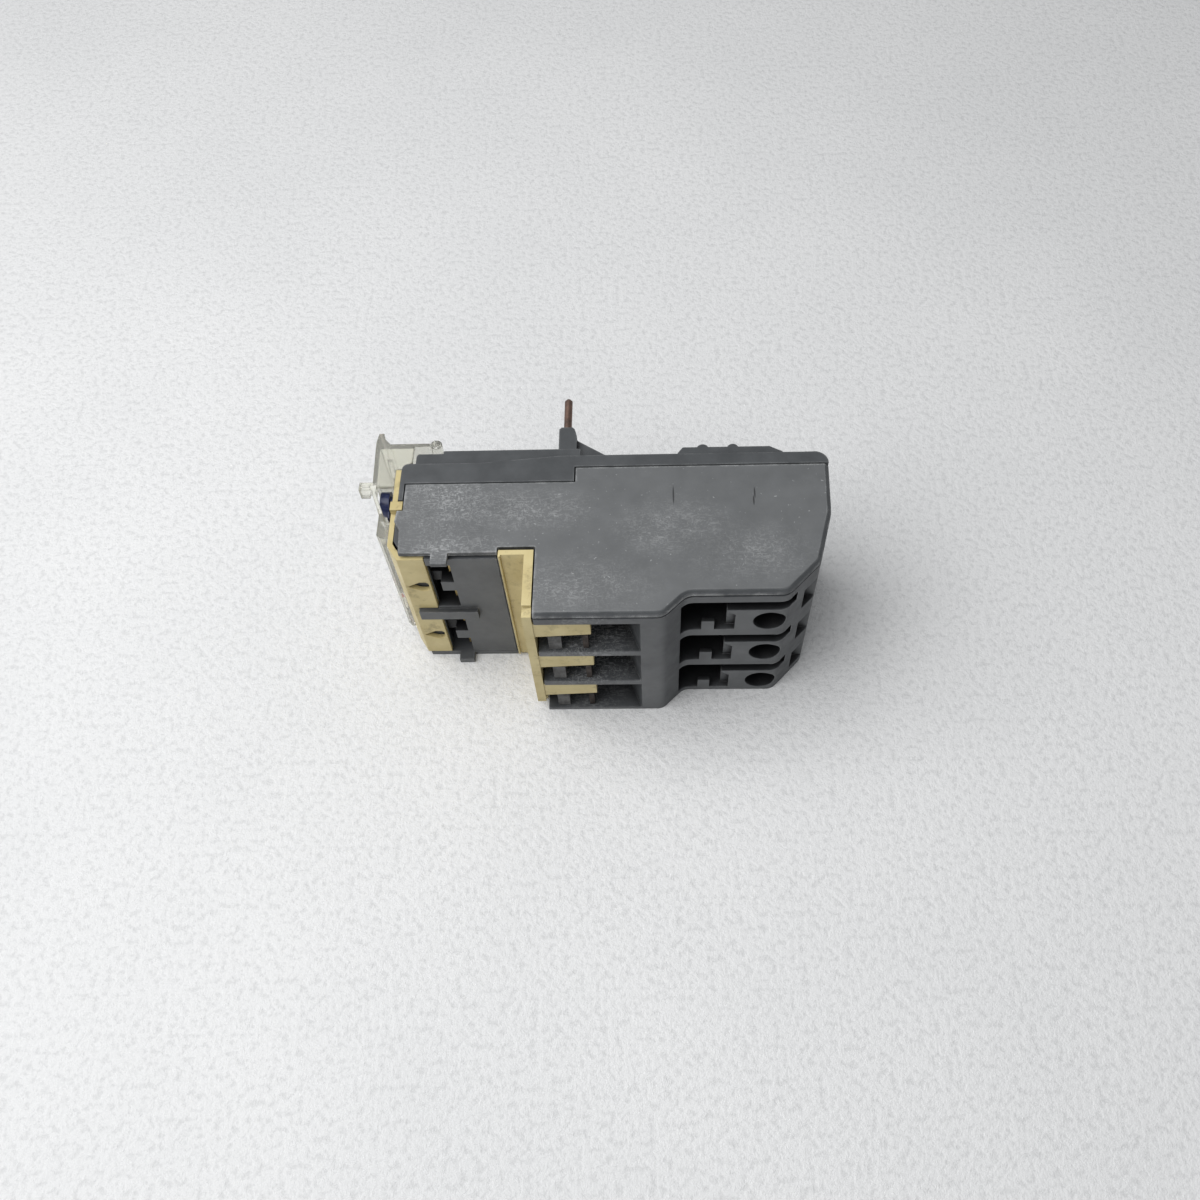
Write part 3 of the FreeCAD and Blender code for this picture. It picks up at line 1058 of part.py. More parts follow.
def make_trip_lever():
    """Square shaft with an arm at the slides and one over the rocker, on round trunnions."""
    level, height, side = S.lever_level, LEVER_HEIGHT, S.lever_half
    rear = S.lever_rear
    half = S.arm_thick / 2
    lever = body("trip_lever")
    pad(lever, "lever_shaft", "YZ", WALL_REAR + S.loose, rear, [
        rectangle(level - side, height - side, level + side, height + side)])
    trunnion = [(level, height, S.trunnion_radius)]
    pad(lever, "front_trunnion", "YZ", SPRING_WALL + S.sliding, WALL_REAR + S.loose + S.bite,
        circles=trunnion)
    pad(lever, "rear_trunnion", "YZ", rear - S.bite, rear + S.loose + S.front_wall - S.sliding,
        circles=trunnion)
    pad(lever, "slide_arm", "XZ", level - S.arm_down, level, [
        rectangle(rear - S.arm_width, height - half, rear, height + half)])
    pad(lever, "rocker_arm", "XZ", level, level + S.arm_up, [
        rectangle(ROCKER_FRONT, height - half, ROCKER_FRONT + S.arm_width, height + half)])


def make_rocker():
    """See-saw that carries the two contact bridges, with its pin."""
    front, rear = ROCKER_FRONT, ROCKER_REAR
    middle, low, top = CONTROL_MIDDLE, S.rocker_level, S.rocker_level + S.rocker_thick
    rise = math.tan(math.radians(S.trip_angle.number))
    reach = LEVER_HEIGHT - S.arm_thick / 2 - S.rocker_gap - middle
    bore = (low + top) / 2
    rocker = body("contact_rocker")
    pad(rocker, "rocker_beam", "YZ", front, rear, [[
        (low, middle - reach), (low, middle), (low + reach * rise, middle + reach),
        (top + reach * rise, middle + reach), (top, middle + S.rocker_hub),
        (top + S.rocker_crown, middle), (top, middle - S.rocker_hub), (top, middle - reach)]])
    pocket(rocker, "rocker_bore", "YZ", front - S.past, rear + S.past,
           circles=[(bore, middle, S.rocker_pin_radius + S.running)])
    pin = rod("rocker_pin_rod", "X", (SPRING_WALL + S.sliding, bore, middle),
              S.rocker_pin_radius, rear + S.bite - SPRING_WALL)
    node(pin, "rocker_pin")
    front, rear, under = front + S.bridge_side, rear - S.bridge_side, low - S.bridge_thick
    closed = body("nc_bridge")
    pad(closed, "nc_strip", "YZ", front, rear, [
        rectangle(under, middle - BRIDGE_OFFSET - BRIDGE_HALF, low,
                  middle - BRIDGE_OFFSET + BRIDGE_HALF)])
    opened = body("no_bridge")
    start, end = BRIDGE_OFFSET - BRIDGE_HALF, BRIDGE_OFFSET + BRIDGE_HALF
    pad(opened, "no_strip", "YZ", front, rear, [[
        (under + start * rise, middle + start), (under + end * rise, middle + end),
        (low + end * rise, middle + end), (low + start * rise, middle + start)]])


# ---------------------------------------------------------------- assembly and output

def check_and_write():
    """Stops on any failed object, then writes one STEP file for each named piece."""
    doc.recompute()
    for thing in doc.Objects:
        if any(state in ("Invalid", "Error") for state in thing.State):
            raise RuntimeError(f"{thing.Name} failed: {thing.State}")
    os.makedirs("parts", exist_ok=True)
    for name in NODES:
        shape = doc.getObjectsByLabel(name)[0].Shape
        if shape.isNull() or not shape.isValid():
            raise RuntimeError(f"{name} has no valid shape")
        shape.exportStep(f"parts/{name}.step")
        box = shape.BoundBox
        print(f"{name:20s} {len(shape.Solids)} solid {shape.Volume:9.2f} mm3  "
              f"{box.XMin:7.2f} {box.XMax:7.2f} {box.YMin:7.2f} {box.YMax:7.2f} "
              f"{box.ZMin:6.2f} {box.ZMax:6.2f}")


make_housing()
make_side_cover()
make_front_panel()
make_terminal_shroud()
make_clear_cover()
make_contact_block()
for terminal, terminal_height in enumerate(CONTROL_HEIGHTS, start=1):
    make_control_terminal(terminal, terminal_height)
for pole_number in range(3):
    make_pole(pole_number)
make_button("reset_button", RESET_HEIGHT, True)
make_button("stop_button", S.stop_height, False)
make_spring("reset_spring", RESET_HEIGHT)
make_spring("stop_spring", S.stop_height)
make_dial()
make_slide("trip_slide", S.trip_slide_level, SLIDE_HEAD)
make_slide("differential_slide", S.differential_level, SLIDE_HEAD - S.differential_short)
make_trip_lever()
make_rocker()

NODES = ["housing", "side_cover", "front_panel", "terminal_shroud", "clear_cover",
         "contact_block", "reset_button", "stop_button", "reset_spring", "stop_spring",
         "current_dial", "dial_cam", "trip_slide", "differential_slide", "trip_lever",
         "contact_rocker", "rocker_pin", "nc_bridge", "no_bridge"]
NODES += [f"{piece}_{number}" for piece in ("line_pin", "bimetal", "heater_coil", "terminal_bar",
                                            "power_clamp", "power_screw")
          for number in range(1, 4)]
NODES += [f"{piece}_{number}" for piece in ("control_tail", "control_clamp", "control_screw")
          for number in range(1, 5)]
check_and_write()
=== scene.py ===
import math
import bmesh
import bpy
from mathutils import Matrix, Vector
from mathutils.bvhtree import BVHTree
from mathutils.geometry import intersect_point_line


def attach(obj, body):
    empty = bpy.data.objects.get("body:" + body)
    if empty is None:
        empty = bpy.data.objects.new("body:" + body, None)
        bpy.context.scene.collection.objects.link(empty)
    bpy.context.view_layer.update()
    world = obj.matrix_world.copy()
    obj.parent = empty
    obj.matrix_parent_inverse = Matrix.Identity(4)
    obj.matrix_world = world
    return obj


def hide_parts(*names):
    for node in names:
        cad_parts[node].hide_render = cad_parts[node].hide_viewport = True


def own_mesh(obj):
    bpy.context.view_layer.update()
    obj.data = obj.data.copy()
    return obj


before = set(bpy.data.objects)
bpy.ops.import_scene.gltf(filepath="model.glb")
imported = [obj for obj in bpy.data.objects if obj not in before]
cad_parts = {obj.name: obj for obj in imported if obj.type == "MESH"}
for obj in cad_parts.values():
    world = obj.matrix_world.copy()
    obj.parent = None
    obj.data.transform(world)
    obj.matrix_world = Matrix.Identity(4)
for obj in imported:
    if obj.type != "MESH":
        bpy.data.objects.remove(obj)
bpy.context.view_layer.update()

# ---------------------------------------------------------------- view
# The relay lies on its side wall and is seen from above, over the wire terminals.
# A plain camera stands about a quarter of a metre up, turned slightly to the front.
VIEW_PLACE = Vector((0.01282, -0.14997, 0.24887))
VIEW_RIGHT = Vector((0.9990, 0.0121, -0.0436))
VIEW_UP = Vector((0.0118, 0.8606, 0.5091))
VIEW_LENS = 34.5
VIEW_SENSOR = 36.0

view = bpy.data.cameras.new("view")
view.lens = VIEW_LENS
view.sensor_width = VIEW_SENSOR
view.clip_start = 0.01
view_stand = bpy.data.objects.new("view_stand", view)
bpy.context.scene.collection.objects.link(view_stand)
back = VIEW_RIGHT.cross(VIEW_UP)
view_stand.matrix_world = Matrix.Translation(VIEW_PLACE) @ Matrix(
    (VIEW_RIGHT, VIEW_UP, back)).transposed().to_4x4()
bpy.context.scene.camera = view_stand

# ---------------------------------------------------------------- case
# The charcoal case and the flat plate that closes it are moulded in glass-filled polyamide.
# Their edges are slightly rounded and rubbed pale, with a painted highlight along them, and dust
# lies in brushed patches on top.
MOULD_ROUND = 0.00015
ROUNDED_ABOVE = math.radians(32)
CREASED_ABOVE = math.radians(50)
FOLD_LEAST = 2e-10
FOLD_TURN = -0.2
FOLD_REACH = 2 * MOULD_ROUND
ROOM_FOR_ROUNDING = 2.2 * MOULD_ROUND
CHARCOAL = (0.052, 0.056, 0.060)
CHARCOAL_LIGHT = (0.076, 0.081, 0.086)
DUST_AND_HIGHLIGHT = (0.56, 0.57, 0.57)
# Near black for the painted shade deep in recesses and for the scores on the plate.
SHADE_AND_SCORE_BLACK = (0.006, 0.006, 0.007)


def rounded_shell(mesh, left_sharp):
    """The mesh with its sharp edges rounded, apart from those left sharp."""
    shell = bmesh.new()
    shell.from_mesh(mesh)
    bmesh.ops.remove_doubles(shell, verts=shell.verts, dist=1e-6)
    shell.edges.ensure_lookup_table()
    shell.normal_update()
    edges = []
    for edge in shell.edges:
        if edge.index in left_sharp or edge.calc_face_angle(0) <= ROUNDED_ABOVE:
            continue
        length = edge.calc_length()
        if min(2 * face.calc_area() / length for face in edge.link_faces) > ROOM_FOR_ROUNDING:
            edges.append(edge)
    places = [(edge.index, edge.verts[0].co.copy(), edge.verts[1].co.copy())
              for edge in edges]
    bmesh.ops.bevel(shell, geom=edges, offset=MOULD_ROUND, offset_type="OFFSET", segments=2,
                    profile=0.5, affect="EDGES", clamp_overlap=False, loop_slide=True)
    return shell, places


def softened(node, body="case"):
    """A copy of a moulded piece, with its edges rounded wherever they have room for it."""
    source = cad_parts[node].data
    sharp_shell = bmesh.new()
    sharp_shell.from_mesh(source)
    surface = BVHTree.FromBMesh(sharp_shell)
    sharp_shell.free()
    left_sharp = set()
    while True:
        shell, places = rounded_shell(source, left_sharp)
        shell.normal_update()
        folded = []
        for face in shell.faces:
            normal = surface.find_nearest(face.calc_center_median())[1]
            if (face.calc_area() > FOLD_LEAST and normal
                    and face.normal.dot(normal) < FOLD_TURN):
                folded.extend(corner.co.copy() for corner in face.verts)
        at_folds = set()
        for index, start, end in places:
            for corner in folded:
                near, share = intersect_point_line(corner, start, end)
                near = start if share < 0 else end if share > 1 else near
                if (near - corner).length < FOLD_REACH:
                    at_folds.add(index)
                    break
        if not at_folds:
            break
        left_sharp |= at_folds
        shell.free()
    for face in shell.faces:
        face.smooth = True
    for edge in shell.edges:
        edge.smooth = edge.calc_face_angle(0) < CREASED_ABOVE
    mesh = bpy.data.meshes.new(node + "_moulded")
    shell.to_mesh(mesh)
    shell.free()
    piece = bpy.data.objects.new(node + "_moulded", mesh)
    bpy.context.scene.collection.objects.link(piece)
    normals = piece.modifiers.new("normals", "WEIGHTED_NORMAL")
    normals.keep_sharp = True
    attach(piece, body)
    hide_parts(node)
    return piece


class Finish:
    """A node-based material, built one node at a time."""

    def __init__(self, name):
        self.material = bpy.data.materials.new(name)
        self.material.use_nodes = True
        self.tree = self.material.node_tree
        self.shader = self.tree.nodes["Principled BSDF"]
        self.place = self.add("ShaderNodeTexCoord").outputs["Object"]

    def add(self, kind, **settings):
        node = self.tree.nodes.new(kind)
        for key, value in settings.items():
            setattr(node, key, value)
        return node

    def link(self, source, target):
        self.tree.links.new(source, target)

    def noise(self, scale, detail=4.0, roughness=0.6, stretch=None, distortion=0.0):
        """Noise with features of about one over scale metres."""
        node = self.add("ShaderNodeTexNoise")
        node.inputs["Scale"].default_value = scale
        node.inputs["Detail"].default_value = detail
        node.inputs["Roughness"].default_value = roughness
        node.inputs["Distortion"].default_value = distortion
        if stretch:
            squeeze = self.add("ShaderNodeMapping")
            squeeze.inputs["Scale"].default_value = stretch
            self.link(self.place, squeeze.inputs["Vector"])
            self.link(squeeze.outputs["Vector"], node.inputs["Vector"])
        else:
            self.link(self.place, node.inputs["Vector"])
        return node.outputs["Fac"]

    def steps(self, source, *stops):
        """A ramp of (place, grey or colour) stops."""
        node = self.add("ShaderNodeValToRGB")
        ramp = node.color_ramp
        while len(ramp.elements) < len(stops):
            ramp.elements.new(0.5)
        for element, (place, tone) in zip(ramp.elements, stops):
            element.position = place
            element.color = (tone, tone, tone, 1) if isinstance(tone, float) else (*tone, 1)
        self.link(source, node.inputs["Fac"])
        return node.outputs["Color"]

    def blend(self, factor, low, high):
        """Colour between low and high, each a colour or a socket."""
        node = self.add("ShaderNodeMix", data_type="RGBA")
        for socket, value in ((node.inputs[6], low), (node.inputs[7], high)):
            if isinstance(value, tuple):
                socket.default_value = (*value, 1)
            else:
                self.link(value, socket)
        self.link(factor, node.inputs[0])
        return node.outputs[2]

    def reckon(self, first, second, operation="MULTIPLY"):
        """The product of two numbers or sockets, or what another operation makes of them."""
        node = self.add("ShaderNodeMath", operation=operation, use_clamp=True)
        for socket, value in zip(node.inputs, (first, second)):
            if isinstance(value, float):
                socket.default_value = value
            else:
                self.link(value, socket)
        return node.outputs[0]

    def colour(self, value):
        self.link(value, self.shader.inputs["Base Color"])

    def roughness(self, value):
        self.link(value, self.shader.inputs["Roughness"])

    def bump(self, height, depth, strength=1.0):
        node = self.add("ShaderNodeBump")
        node.inputs["Distance"].default_value = depth
        node.inputs["Strength"].default_value = strength
        self.link(height, node.inputs["Height"])
        self.link(node.outputs["Normal"], self.shader.inputs["Normal"])


def facing(finish, axis, side):
    """One where a surface faces straight along an axis, to the side of 1 or -1."""
    normal = finish.add("ShaderNodeNewGeometry").outputs["Normal"]
    split = finish.add("ShaderNodeSeparateXYZ")
    finish.link(normal, split.inputs[0])
    turned = finish.reckon(split.outputs[axis], float(side))
    return finish.steps(turned, (0.8, 0.0), (0.97, 1.0))


def recess_shade_mask(finish, reach, closed=0.3, open_=0.62):
    """A mask for painted shade: one deep in recesses narrower than the reach, nothing on open
    faces.
    """
    node = finish.add("ShaderNodeAmbientOcclusion", samples=8, only_local=True)
    node.inputs["Distance"].default_value = reach
    return finish.steps(node.outputs["AO"], (closed, 1.0), (open_, 0.0))


def rims(finish, reach):
    """One along the edges of a moulding, nothing on its flat faces."""
    rounded = finish.add("ShaderNodeBevel", samples=6)
    rounded.inputs["Radius"].default_value = reach
    plain = finish.add("ShaderNodeNewGeometry").outputs["Normal"]
    match = finish.add("ShaderNodeVectorMath", operation="DOT_PRODUCT")
    finish.link(rounded.outputs["Normal"], match.inputs[0])
    finish.link(plain, match.inputs[1])
    return finish.steps(match.outputs["Value"], (0.80, 1.0), (0.99, 0.0))


def spot(finish, middle, reach):
    """One at a place on the piece, fading to nothing at its reach along each axis."""
    shift = finish.add("ShaderNodeVectorMath", operation="SUBTRACT")
    finish.link(finish.place, shift.inputs[0])
    shift.inputs[1].default_value = middle
    squeeze = finish.add("ShaderNodeVectorMath", operation="DIVIDE")
    finish.link(shift.outputs[0], squeeze.inputs[0])
    squeeze.inputs[1].default_value = reach
    length = finish.add("ShaderNodeVectorMath", operation="LENGTH")
    finish.link(squeeze.outputs[0], length.inputs[0])
    return finish.steps(length.outputs["Value"], (0.15, 1.0), (1.0, 0.0))


def either(finish, *masks):
    """The largest of several masks."""
    largest = masks[0]
    for mask in masks[1:]:
        largest = finish.reckon(largest, mask, "MAXIMUM")
    return largest


def charcoal_base(finish):
    """Charcoal polyamide with a faint mottle."""
    mottle = finish.steps(finish.noise(170.0, 5.0), (0.35, 0.0), (0.7, 1.0))
    return finish.blend(mottle, CHARCOAL, CHARCOAL_LIGHT)


def brushed_dust(finish):
    """Short pale strokes, as a hand or a brush leaves them in dust."""
    long_way = finish.noise(620.0, 6.0, 0.72, (1.0, 2.4, 1.0), 1.6)
    cross_way = finish.noise(780.0, 5.0, 0.7, (2.2, 1.0, 1.0), 1.2)
    return either(finish, finish.steps(long_way, (0.51, 0.0), (0.60, 1.0)),
                  finish.steps(cross_way, (0.54, 0.0), (0.63, 0.9)))


def charcoal_grain(finish):
    """The fine matt grain of the mould."""
    finish.roughness(finish.steps(finish.noise(260.0, 4.0), (0.3, 0.42), (0.7, 0.58)))
    finish.bump(finish.noise(3800.0, 3.0, 0.6), 0.00003, 0.5)


# The plate: dust patches at the front end, in the middle and along the terminal edge,
# and two short dark scores near the contactor side.
PATCHES = (((-0.0330, -0.0045, 0.045), (0.0170, 0.0120, 0.01), 1.0),
           ((-0.0310, -0.0155, 0.045), (0.0150, 0.0060, 0.01), 0.8),
           ((-0.0130, -0.0060, 0.045), (0.0170, 0.0075, 0.01), 0.6),
           ((0.0180, -0.0115, 0.045), (0.0150, 0.0095, 0.01), 0.62),
           ((-0.0020, -0.0250, 0.045), (0.0200, 0.0090, 0.01), 0.5),
           ((0.0330, -0.0180, 0.045), (0.0190, 0.0090, 0.01), 0.4))
SCORES = (((0.0181, -0.0029, 0.045), (0.00022, 0.0030, 0.01)),
          ((0.0357, -0.0026, 0.045), (0.00022, 0.0018, 0.01)),
          ((0.0354, -0.0046, 0.045), (0.00022, 0.0016, 0.01)))

plate_dusty = Finish("dusty_charcoal_polyamide")
strokes = brushed_dust(plate_dusty)
cloud = plate_dusty.steps(plate_dusty.noise(85.0, 4.0, 0.6), (0.36, 0.35), (0.62, 1.0))
patches = either(plate_dusty, *[plate_dusty.reckon(spot(plate_dusty, middle, reach), strength)
                                for middle, reach, strength in PATCHES])
specks = plate_dusty.steps(plate_dusty.noise(1250.0, 2.0, 0.5), (0.70, 0.0), (0.76, 0.35))
brushed = plate_dusty.reckon(plate_dusty.reckon(patches, strokes), cloud)
film = plate_dusty.reckon(plate_dusty.steps(plate_dusty.noise(45.0, 5.0, 0.65),
                                         (0.3, 0.095), (0.7, 0.155)),
                       plate_dusty.reckon(plate_dusty.reckon(patches, 0.03), specks, "MAXIMUM"),
                       "ADD")
# Pale rubbed edges, partly a painted highlight along the rounded edges.
rubbed_and_highlit = plate_dusty.reckon(plate_dusty.reckon(rims(plate_dusty, 0.0011), 0.75), plate_dusty.steps(
    plate_dusty.noise(330.0, 4.0, 0.7), (0.4, 0.15), (0.62, 1.0)))
on_top = plate_dusty.reckon(plate_dusty.reckon(plate_dusty.reckon(brushed, 0.55), film, "ADD"),
                         facing(plate_dusty, "Z", 1))
dust_and_highlight = plate_dusty.blend(either(plate_dusty, on_top, rubbed_and_highlit), charcoal_base(plate_dusty),
                          DUST_AND_HIGHLIGHT)
scored = either(plate_dusty, *[plate_dusty.steps(spot(plate_dusty, middle, reach),
                                                 (0.05, 0.0), (0.5, 0.75))
                               for middle, reach in SCORES])
plate_dusty.colour(plate_dusty.blend(scored, dust_and_highlight, SHADE_AND_SCORE_BLACK))
charcoal_grain(plate_dusty)

# The case: a thin film on the faces towards the terminals, smears in the wire recesses,
# and painted near-black shade deep in its narrow recesses.
case_dusty = Finish("charcoal_polyamide")
film = case_dusty.reckon(facing(case_dusty, "Y", -1), case_dusty.steps(
    case_dusty.noise(60.0, 5.0, 0.65), (0.3, 0.05), (0.7, 0.13)))
smears = case_dusty.reckon(spot(case_dusty, (-0.001, -0.026, 0.024), (0.013, 0.012, 0.04)),
                        brushed_dust(case_dusty))
# Pale rubbed edges, partly a painted highlight along the rounded edges.
rubbed_and_highlit = case_dusty.reckon(case_dusty.reckon(rims(case_dusty, 0.0007), 0.28), case_dusty.steps(
    case_dusty.noise(330.0, 4.0, 0.7), (0.42, 0.1), (0.62, 1.0)))
plain = case_dusty.blend(either(case_dusty, film, rubbed_and_highlit), charcoal_base(case_dusty), DUST_AND_HIGHLIGHT)
# Painted shade: the case goes near black deep in its recesses.
darkened = case_dusty.blend(recess_shade_mask(case_dusty, 0.011, 0.42, 0.74), plain, SHADE_AND_SCORE_BLACK)
case_dusty.colour(case_dusty.blend(case_dusty.reckon(smears, 0.6), darkened, DUST_AND_HIGHLIGHT))
charcoal_grain(case_dusty)

case_finish = case_dusty.material
case = softened("housing")
case.data.materials.append(case_finish)
plate = softened("side_cover")
plate.data.materials.append(plate_dusty.material)

# ---------------------------------------------------------------- control terminal block
# A charcoal block slides into the case from the front and holds the four control terminals.
# It is the same polyamide as the case, cleaner because it stands back from the hands.
block = softened("contact_block")
block.data.materials.append(case_finish)

# ---------------------------------------------------------------- beige mouldings
# The front panel and the terminal shroud are beige polyamide, darkened with age and with
# brown dirt in the grain.  They snap over the charcoal case.
BEIGE = (0.52, 0.425, 0.195)
BEIGE_LIGHT = (0.66, 0.56, 0.29)
DIRT_AND_SHADE_BROWN = (0.075, 0.055, 0.035)


def beige_finish(name):
    """Beige polyamide with brown dirt in its grain and painted brown shade in its narrow recesses.
    """
    finish = Finish(name)
    tone = finish.steps(finish.noise(120.0, 4.0), (0.3, 0.0), (0.7, 1.0))
    base = finish.blend(tone, BEIGE, BEIGE_LIGHT)
    grime = finish.reckon(finish.steps(finish.noise(300.0, 8.0, 0.75), (0.54, 0.0), (0.72, 1.0)),
                       0.5)
    # Painted shade: brown darkening deep in the narrow recesses.
    beige_recess_shade = finish.reckon(recess_shade_mask(finish, 0.003, 0.25, 0.6), 0.8)
    finish.colour(finish.blend(either(finish, grime, beige_recess_shade), base, DIRT_AND_SHADE_BROWN))
    finish.roughness(finish.steps(finish.noise(300.0, 3.0), (0.3, 0.4), (0.7, 0.55)))
    finish.bump(finish.noise(3000.0, 3.0), 0.00003, 0.4)
    return finish.material


aged_beige = beige_finish("aged_beige_polyamide")
for node in ("front_panel", "terminal_shroud"):
    moulding = softened(node)
    moulding.data.materials.append(aged_beige)

# ---------------------------------------------------------------- clear flap
# The flap is clear polycarbonate that has yellowed.  It hangs on two short pins between the
# ears of the case and covers the dial and the push buttons.
CLEAR_TINT = (0.96, 0.955, 0.88)
CLEAR_RIM_SHADE = (0.20, 0.185, 0.13)


def clear_finish(name):
    """Clear yellowed plastic with a painted dark shade along its rims."""
    finish = Finish(name)
    # Painted shade: the rims go dark olive, more in some places than others.
    rim_shade_strength = finish.steps(finish.noise(300.0, 3.0), (0.3, 0.75), (0.7, 1.0))
    finish.colour(finish.blend(finish.reckon(rims(finish, 0.00045), rim_shade_strength), CLEAR_TINT,
                               CLEAR_RIM_SHADE))
    finish.shader.inputs["Transmission Weight"].default_value = 0.84
    finish.shader.inputs["IOR"].default_value = 1.42
    finish.roughness(finish.steps(finish.noise(500.0, 6.0, 0.7), (0.45, 0.08), (0.75, 0.3)))
    finish.bump(finish.noise(900.0, 3.0), 0.00002, 0.3)
    return finish.material


yellowed_clear = clear_finish("yellowed_clear_polycarbonate")
flap = softened("clear_cover", "flap")
flap.data.materials.append(yellowed_clear)

# ---------------------------------------------------------------- contactor pins
# Three copper pins are moulded into the sleeves and plug into the contactor.  Their free
# ends are brown with use.  The terminal bars are the same copper, painted dark for the shade in
# their recesses.


def metal_finish(name, colour, tarnish, amount, rough, brush=(1.0, 1.0, 1.0)):
    """Metal with blotches of tarnish and fine brushing."""
    finish = Finish(name)
    finish.shader.inputs["Metallic"].default_value = 1.0
    blotch = finish.reckon(finish.steps(finish.noise(420.0, 6.0, 0.7), (0.4, 0.0), (0.66, 1.0)),
                        amount)
    finish.colour(finish.blend(blotch, colour, tarnish))
    finish.roughness(finish.steps(finish.noise(900.0, 4.0, 0.6, brush),
                                  (0.3, rough), (0.7, rough + 0.2)))
    finish.bump(finish.noise(2400.0, 3.0, 0.6, brush), 0.00002, 0.4)
    return finish.material


def dress(nodes, finish):
    """Gives the carried-over pieces a finish."""
    for node in nodes:
        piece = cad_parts[node]
        piece.data.materials.clear()
        piece.data.materials.append(finish)


aged_copper = metal_finish("aged_copper", (0.26, 0.17, 0.135), (0.10, 0.08, 0.072), 0.85, 0.42,
                           (1.0, 0.15, 1.0))
dress([f"line_pin_{n}" for n in (1, 2, 3)], aged_copper)
# Painted shade: the bars are coloured near black for the shade deep in their recesses.
recess_shaded_copper = metal_finish("recess_shaded_copper", (0.085, 0.07, 0.062), (0.03, 0.028, 0.027), 0.8, 0.5)
dress([f"terminal_bar_{n}" for n in (1, 2, 3)], recess_shaded_copper)

# ---------------------------------------------------------------- clamps and screws
# Wire clamps, plates and their screws are zinc-plated steel, dulled by dust.
zinc_plate = metal_finish("dull_zinc_plate", (0.17, 0.17, 0.168), (0.05, 0.048, 0.046), 0.8, 0.5)
dress([f"power_clamp_{n}" for n in (1, 2, 3)] + [f"power_screw_{n}" for n in (1, 2, 3)]
      + [f"control_clamp_{n}" for n in (1, 2, 3, 4)]
      + [f"control_screw_{n}" for n in (1, 2, 3, 4)] + ["rocker_pin"], zinc_plate)
contact_brass = metal_finish("contact_brass", (0.62, 0.47, 0.2), (0.3, 0.22, 0.1), 0.5, 0.35)
dress([f"control_tail_{n}" for n in (1, 2, 3, 4)] + ["nc_bridge", "no_bridge"], contact_brass)

# ---------------------------------------------------------------- push buttons and dial
# The reset button is dark blue, the stop button red; both are satin mouldings on return
# springs.  The setting dial is off-white, with its black cam behind the front wall.


def satin_finish(name, colour, shade):
    """Smooth coloured moulding with a soft shine."""
    finish = Finish(name)
    tone = finish.steps(finish.noise(600.0, 5.0), (0.35, 0.0), (0.7, 1.0))
    finish.colour(finish.blend(tone, colour, shade))
    finish.roughness(finish.steps(finish.noise(800.0, 4.0), (0.3, 0.3), (0.7, 0.45)))
    finish.bump(finish.noise(3000.0, 3.0), 0.00002, 0.3)
    return finish.material


for node, slot, body, finish in (
        ("reset_button", "blue_plastic", "reset",
         satin_finish("dark_blue_moulding", (0.012, 0.02, 0.085), (0.02, 0.03, 0.11))),
        ("stop_button", "red_plastic", "stop",
         satin_finish("red_moulding", (0.42, 0.012, 0.01), (0.5, 0.03, 0.02))),
        ("current_dial", "white_plastic", "dial",
         satin_finish("off_white_moulding", (0.62, 0.6, 0.54), (0.7, 0.69, 0.64)))):
    button = softened(node, body)
    button.data.materials.append(finish)
spring_steel = metal_finish("spring_steel", (0.5, 0.5, 0.5), (0.3, 0.28, 0.26), 0.4, 0.25)
# The return springs stay on the case, each with a mesh of its own.
for node, push in (("reset_spring", "reset_push"), ("stop_spring", "stop_push")):
    spring = bpy.data.objects.new(node + "_wound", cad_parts[node].data.copy())
    bpy.context.scene.collection.objects.link(spring)
    spring.data.materials.clear()
    spring.data.materials.append(spring_steel)
    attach(spring, "case")
    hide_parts(node)
    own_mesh(spring)

# ---------------------------------------------------------------- trip gear and heaters
# The slides, lever and rocker are black mouldings.  Each pole has a bimetal strip with the
# heater wire wound over its insulating sleeve.
black_moulding = satin_finish("black_moulding", (0.012, 0.012, 0.013), (0.022, 0.022, 0.024))
dress(["dial_cam", "trip_slide", "differential_slide", "trip_lever", "contact_rocker"],
      black_moulding)
rolled_bimetal = metal_finish("rolled_bimetal", (0.45, 0.42, 0.38), (0.3, 0.25, 0.2), 0.5, 0.35,
                              (0.1, 1.0, 1.0))
dress([f"bimetal_{n}" for n in (1, 2, 3)], rolled_bimetal)
heater_wire = metal_finish("heater_wire", (0.34, 0.3, 0.27), (0.5, 0.48, 0.42), 0.6, 0.5)
dress([f"heater_coil_{n}" for n in (1, 2, 3)], heater_wire)

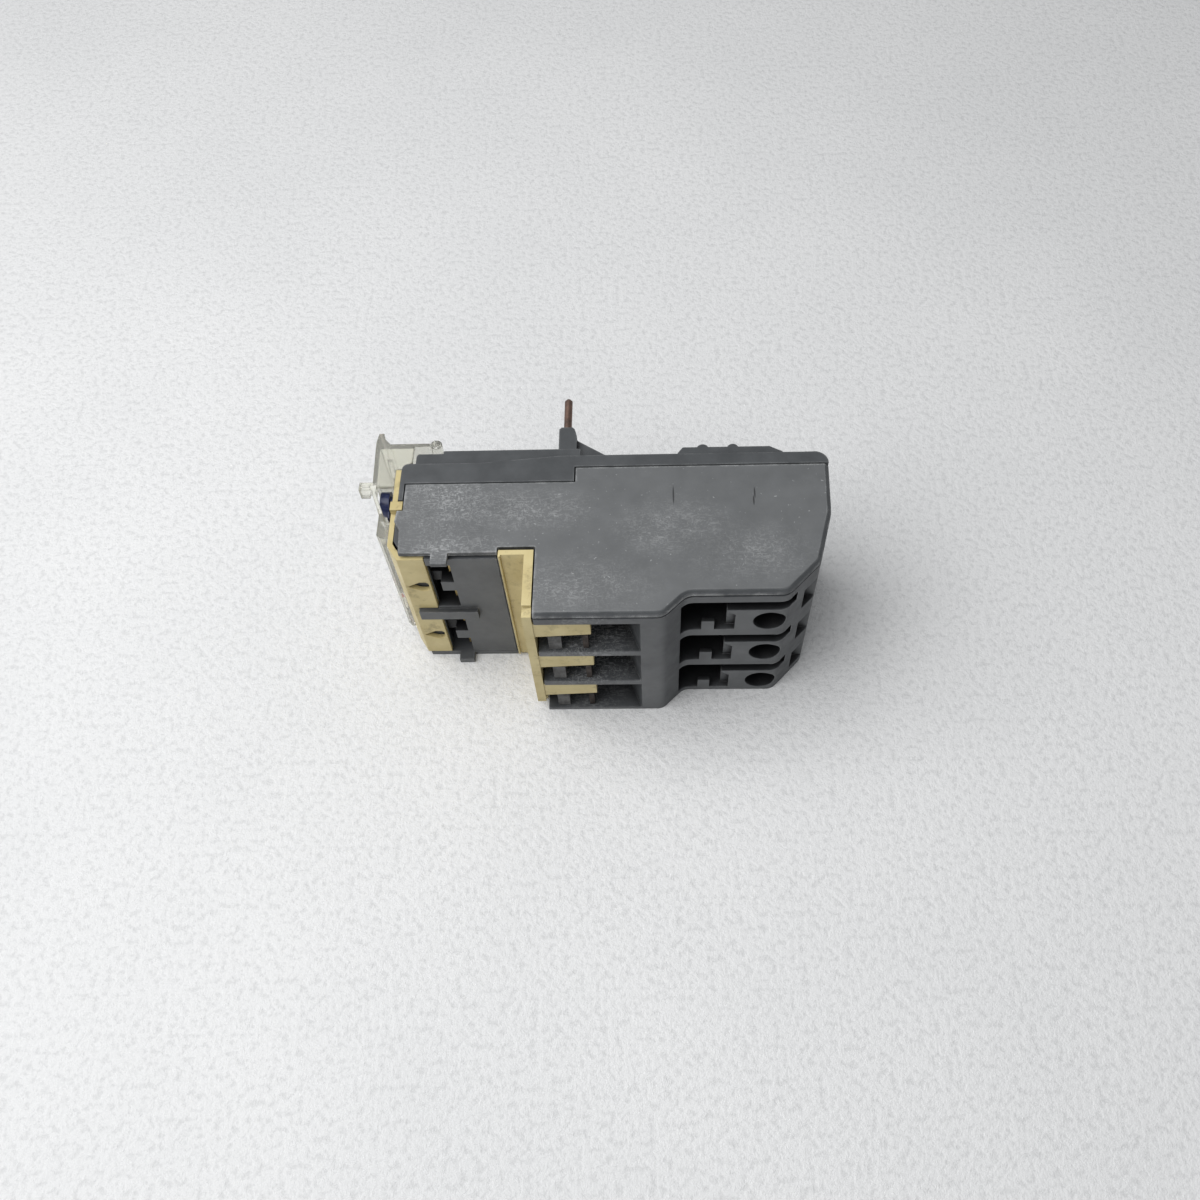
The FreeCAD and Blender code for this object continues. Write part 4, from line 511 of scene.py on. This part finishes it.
# ---------------------------------------------------------------- table and light
# The relay lies on a plain pale foam sheet with a fine tooth, under a pale ceiling and one
# wide soft light that stands to the front on the terminal side.
FLOOR_HALF = 1.5
ROOM_LIGHT = 0.34
LAMP_PLACE = (-0.32, -0.06, 0.6)
LAMP_WIDTH = 0.7
LAMP_POWER = 5.0
floor_mesh = bpy.data.meshes.new("pale_sheet")
floor_mesh.from_pydata([(-FLOOR_HALF, -FLOOR_HALF, 0), (FLOOR_HALF, -FLOOR_HALF, 0),
                        (FLOOR_HALF, FLOOR_HALF, 0), (-FLOOR_HALF, FLOOR_HALF, 0)], [],
                       [(0, 1, 2, 3)])
floor = bpy.data.objects.new("pale_sheet", floor_mesh)
bpy.context.scene.collection.objects.link(floor)
sheet = Finish("pale_sheet")
cloudy = sheet.blend(sheet.steps(sheet.noise(9.0, 3.0), (0.3, 0.0), (0.7, 1.0)),
                     (0.76, 0.765, 0.77), (0.82, 0.822, 0.825))
pores = sheet.steps(sheet.noise(620.0, 3.0, 0.6), (0.36, 0.55), (0.5, 0.0))
sheet.colour(sheet.blend(sheet.reckon(pores, 0.6), cloudy, (0.5, 0.505, 0.51)))
sheet.roughness(sheet.steps(sheet.noise(700.0, 3.0), (0.3, 0.2), (0.7, 0.5)))
sheet.bump(sheet.noise(620.0, 5.0, 0.7), 0.0008, 0.65)
floor.data.materials.append(sheet.material)

world = bpy.data.worlds.new("soft_room")
bpy.context.scene.world = world
world.use_nodes = True
world.node_tree.nodes["Background"].inputs["Color"].default_value = (0.97, 0.985, 1.0, 1)
world.node_tree.nodes["Background"].inputs["Strength"].default_value = ROOM_LIGHT
lamp = bpy.data.lights.new("wide_light", "AREA")
lamp.size = LAMP_WIDTH
lamp.energy = LAMP_POWER
lamp_stand = bpy.data.objects.new("wide_light", lamp)
bpy.context.scene.collection.objects.link(lamp_stand)
lamp_stand.location = LAMP_PLACE
lamp_stand.rotation_euler = (-lamp_stand.location).to_track_quat("-Z", "Y").to_euler()
bpy.context.scene.view_settings.view_transform = "Standard"
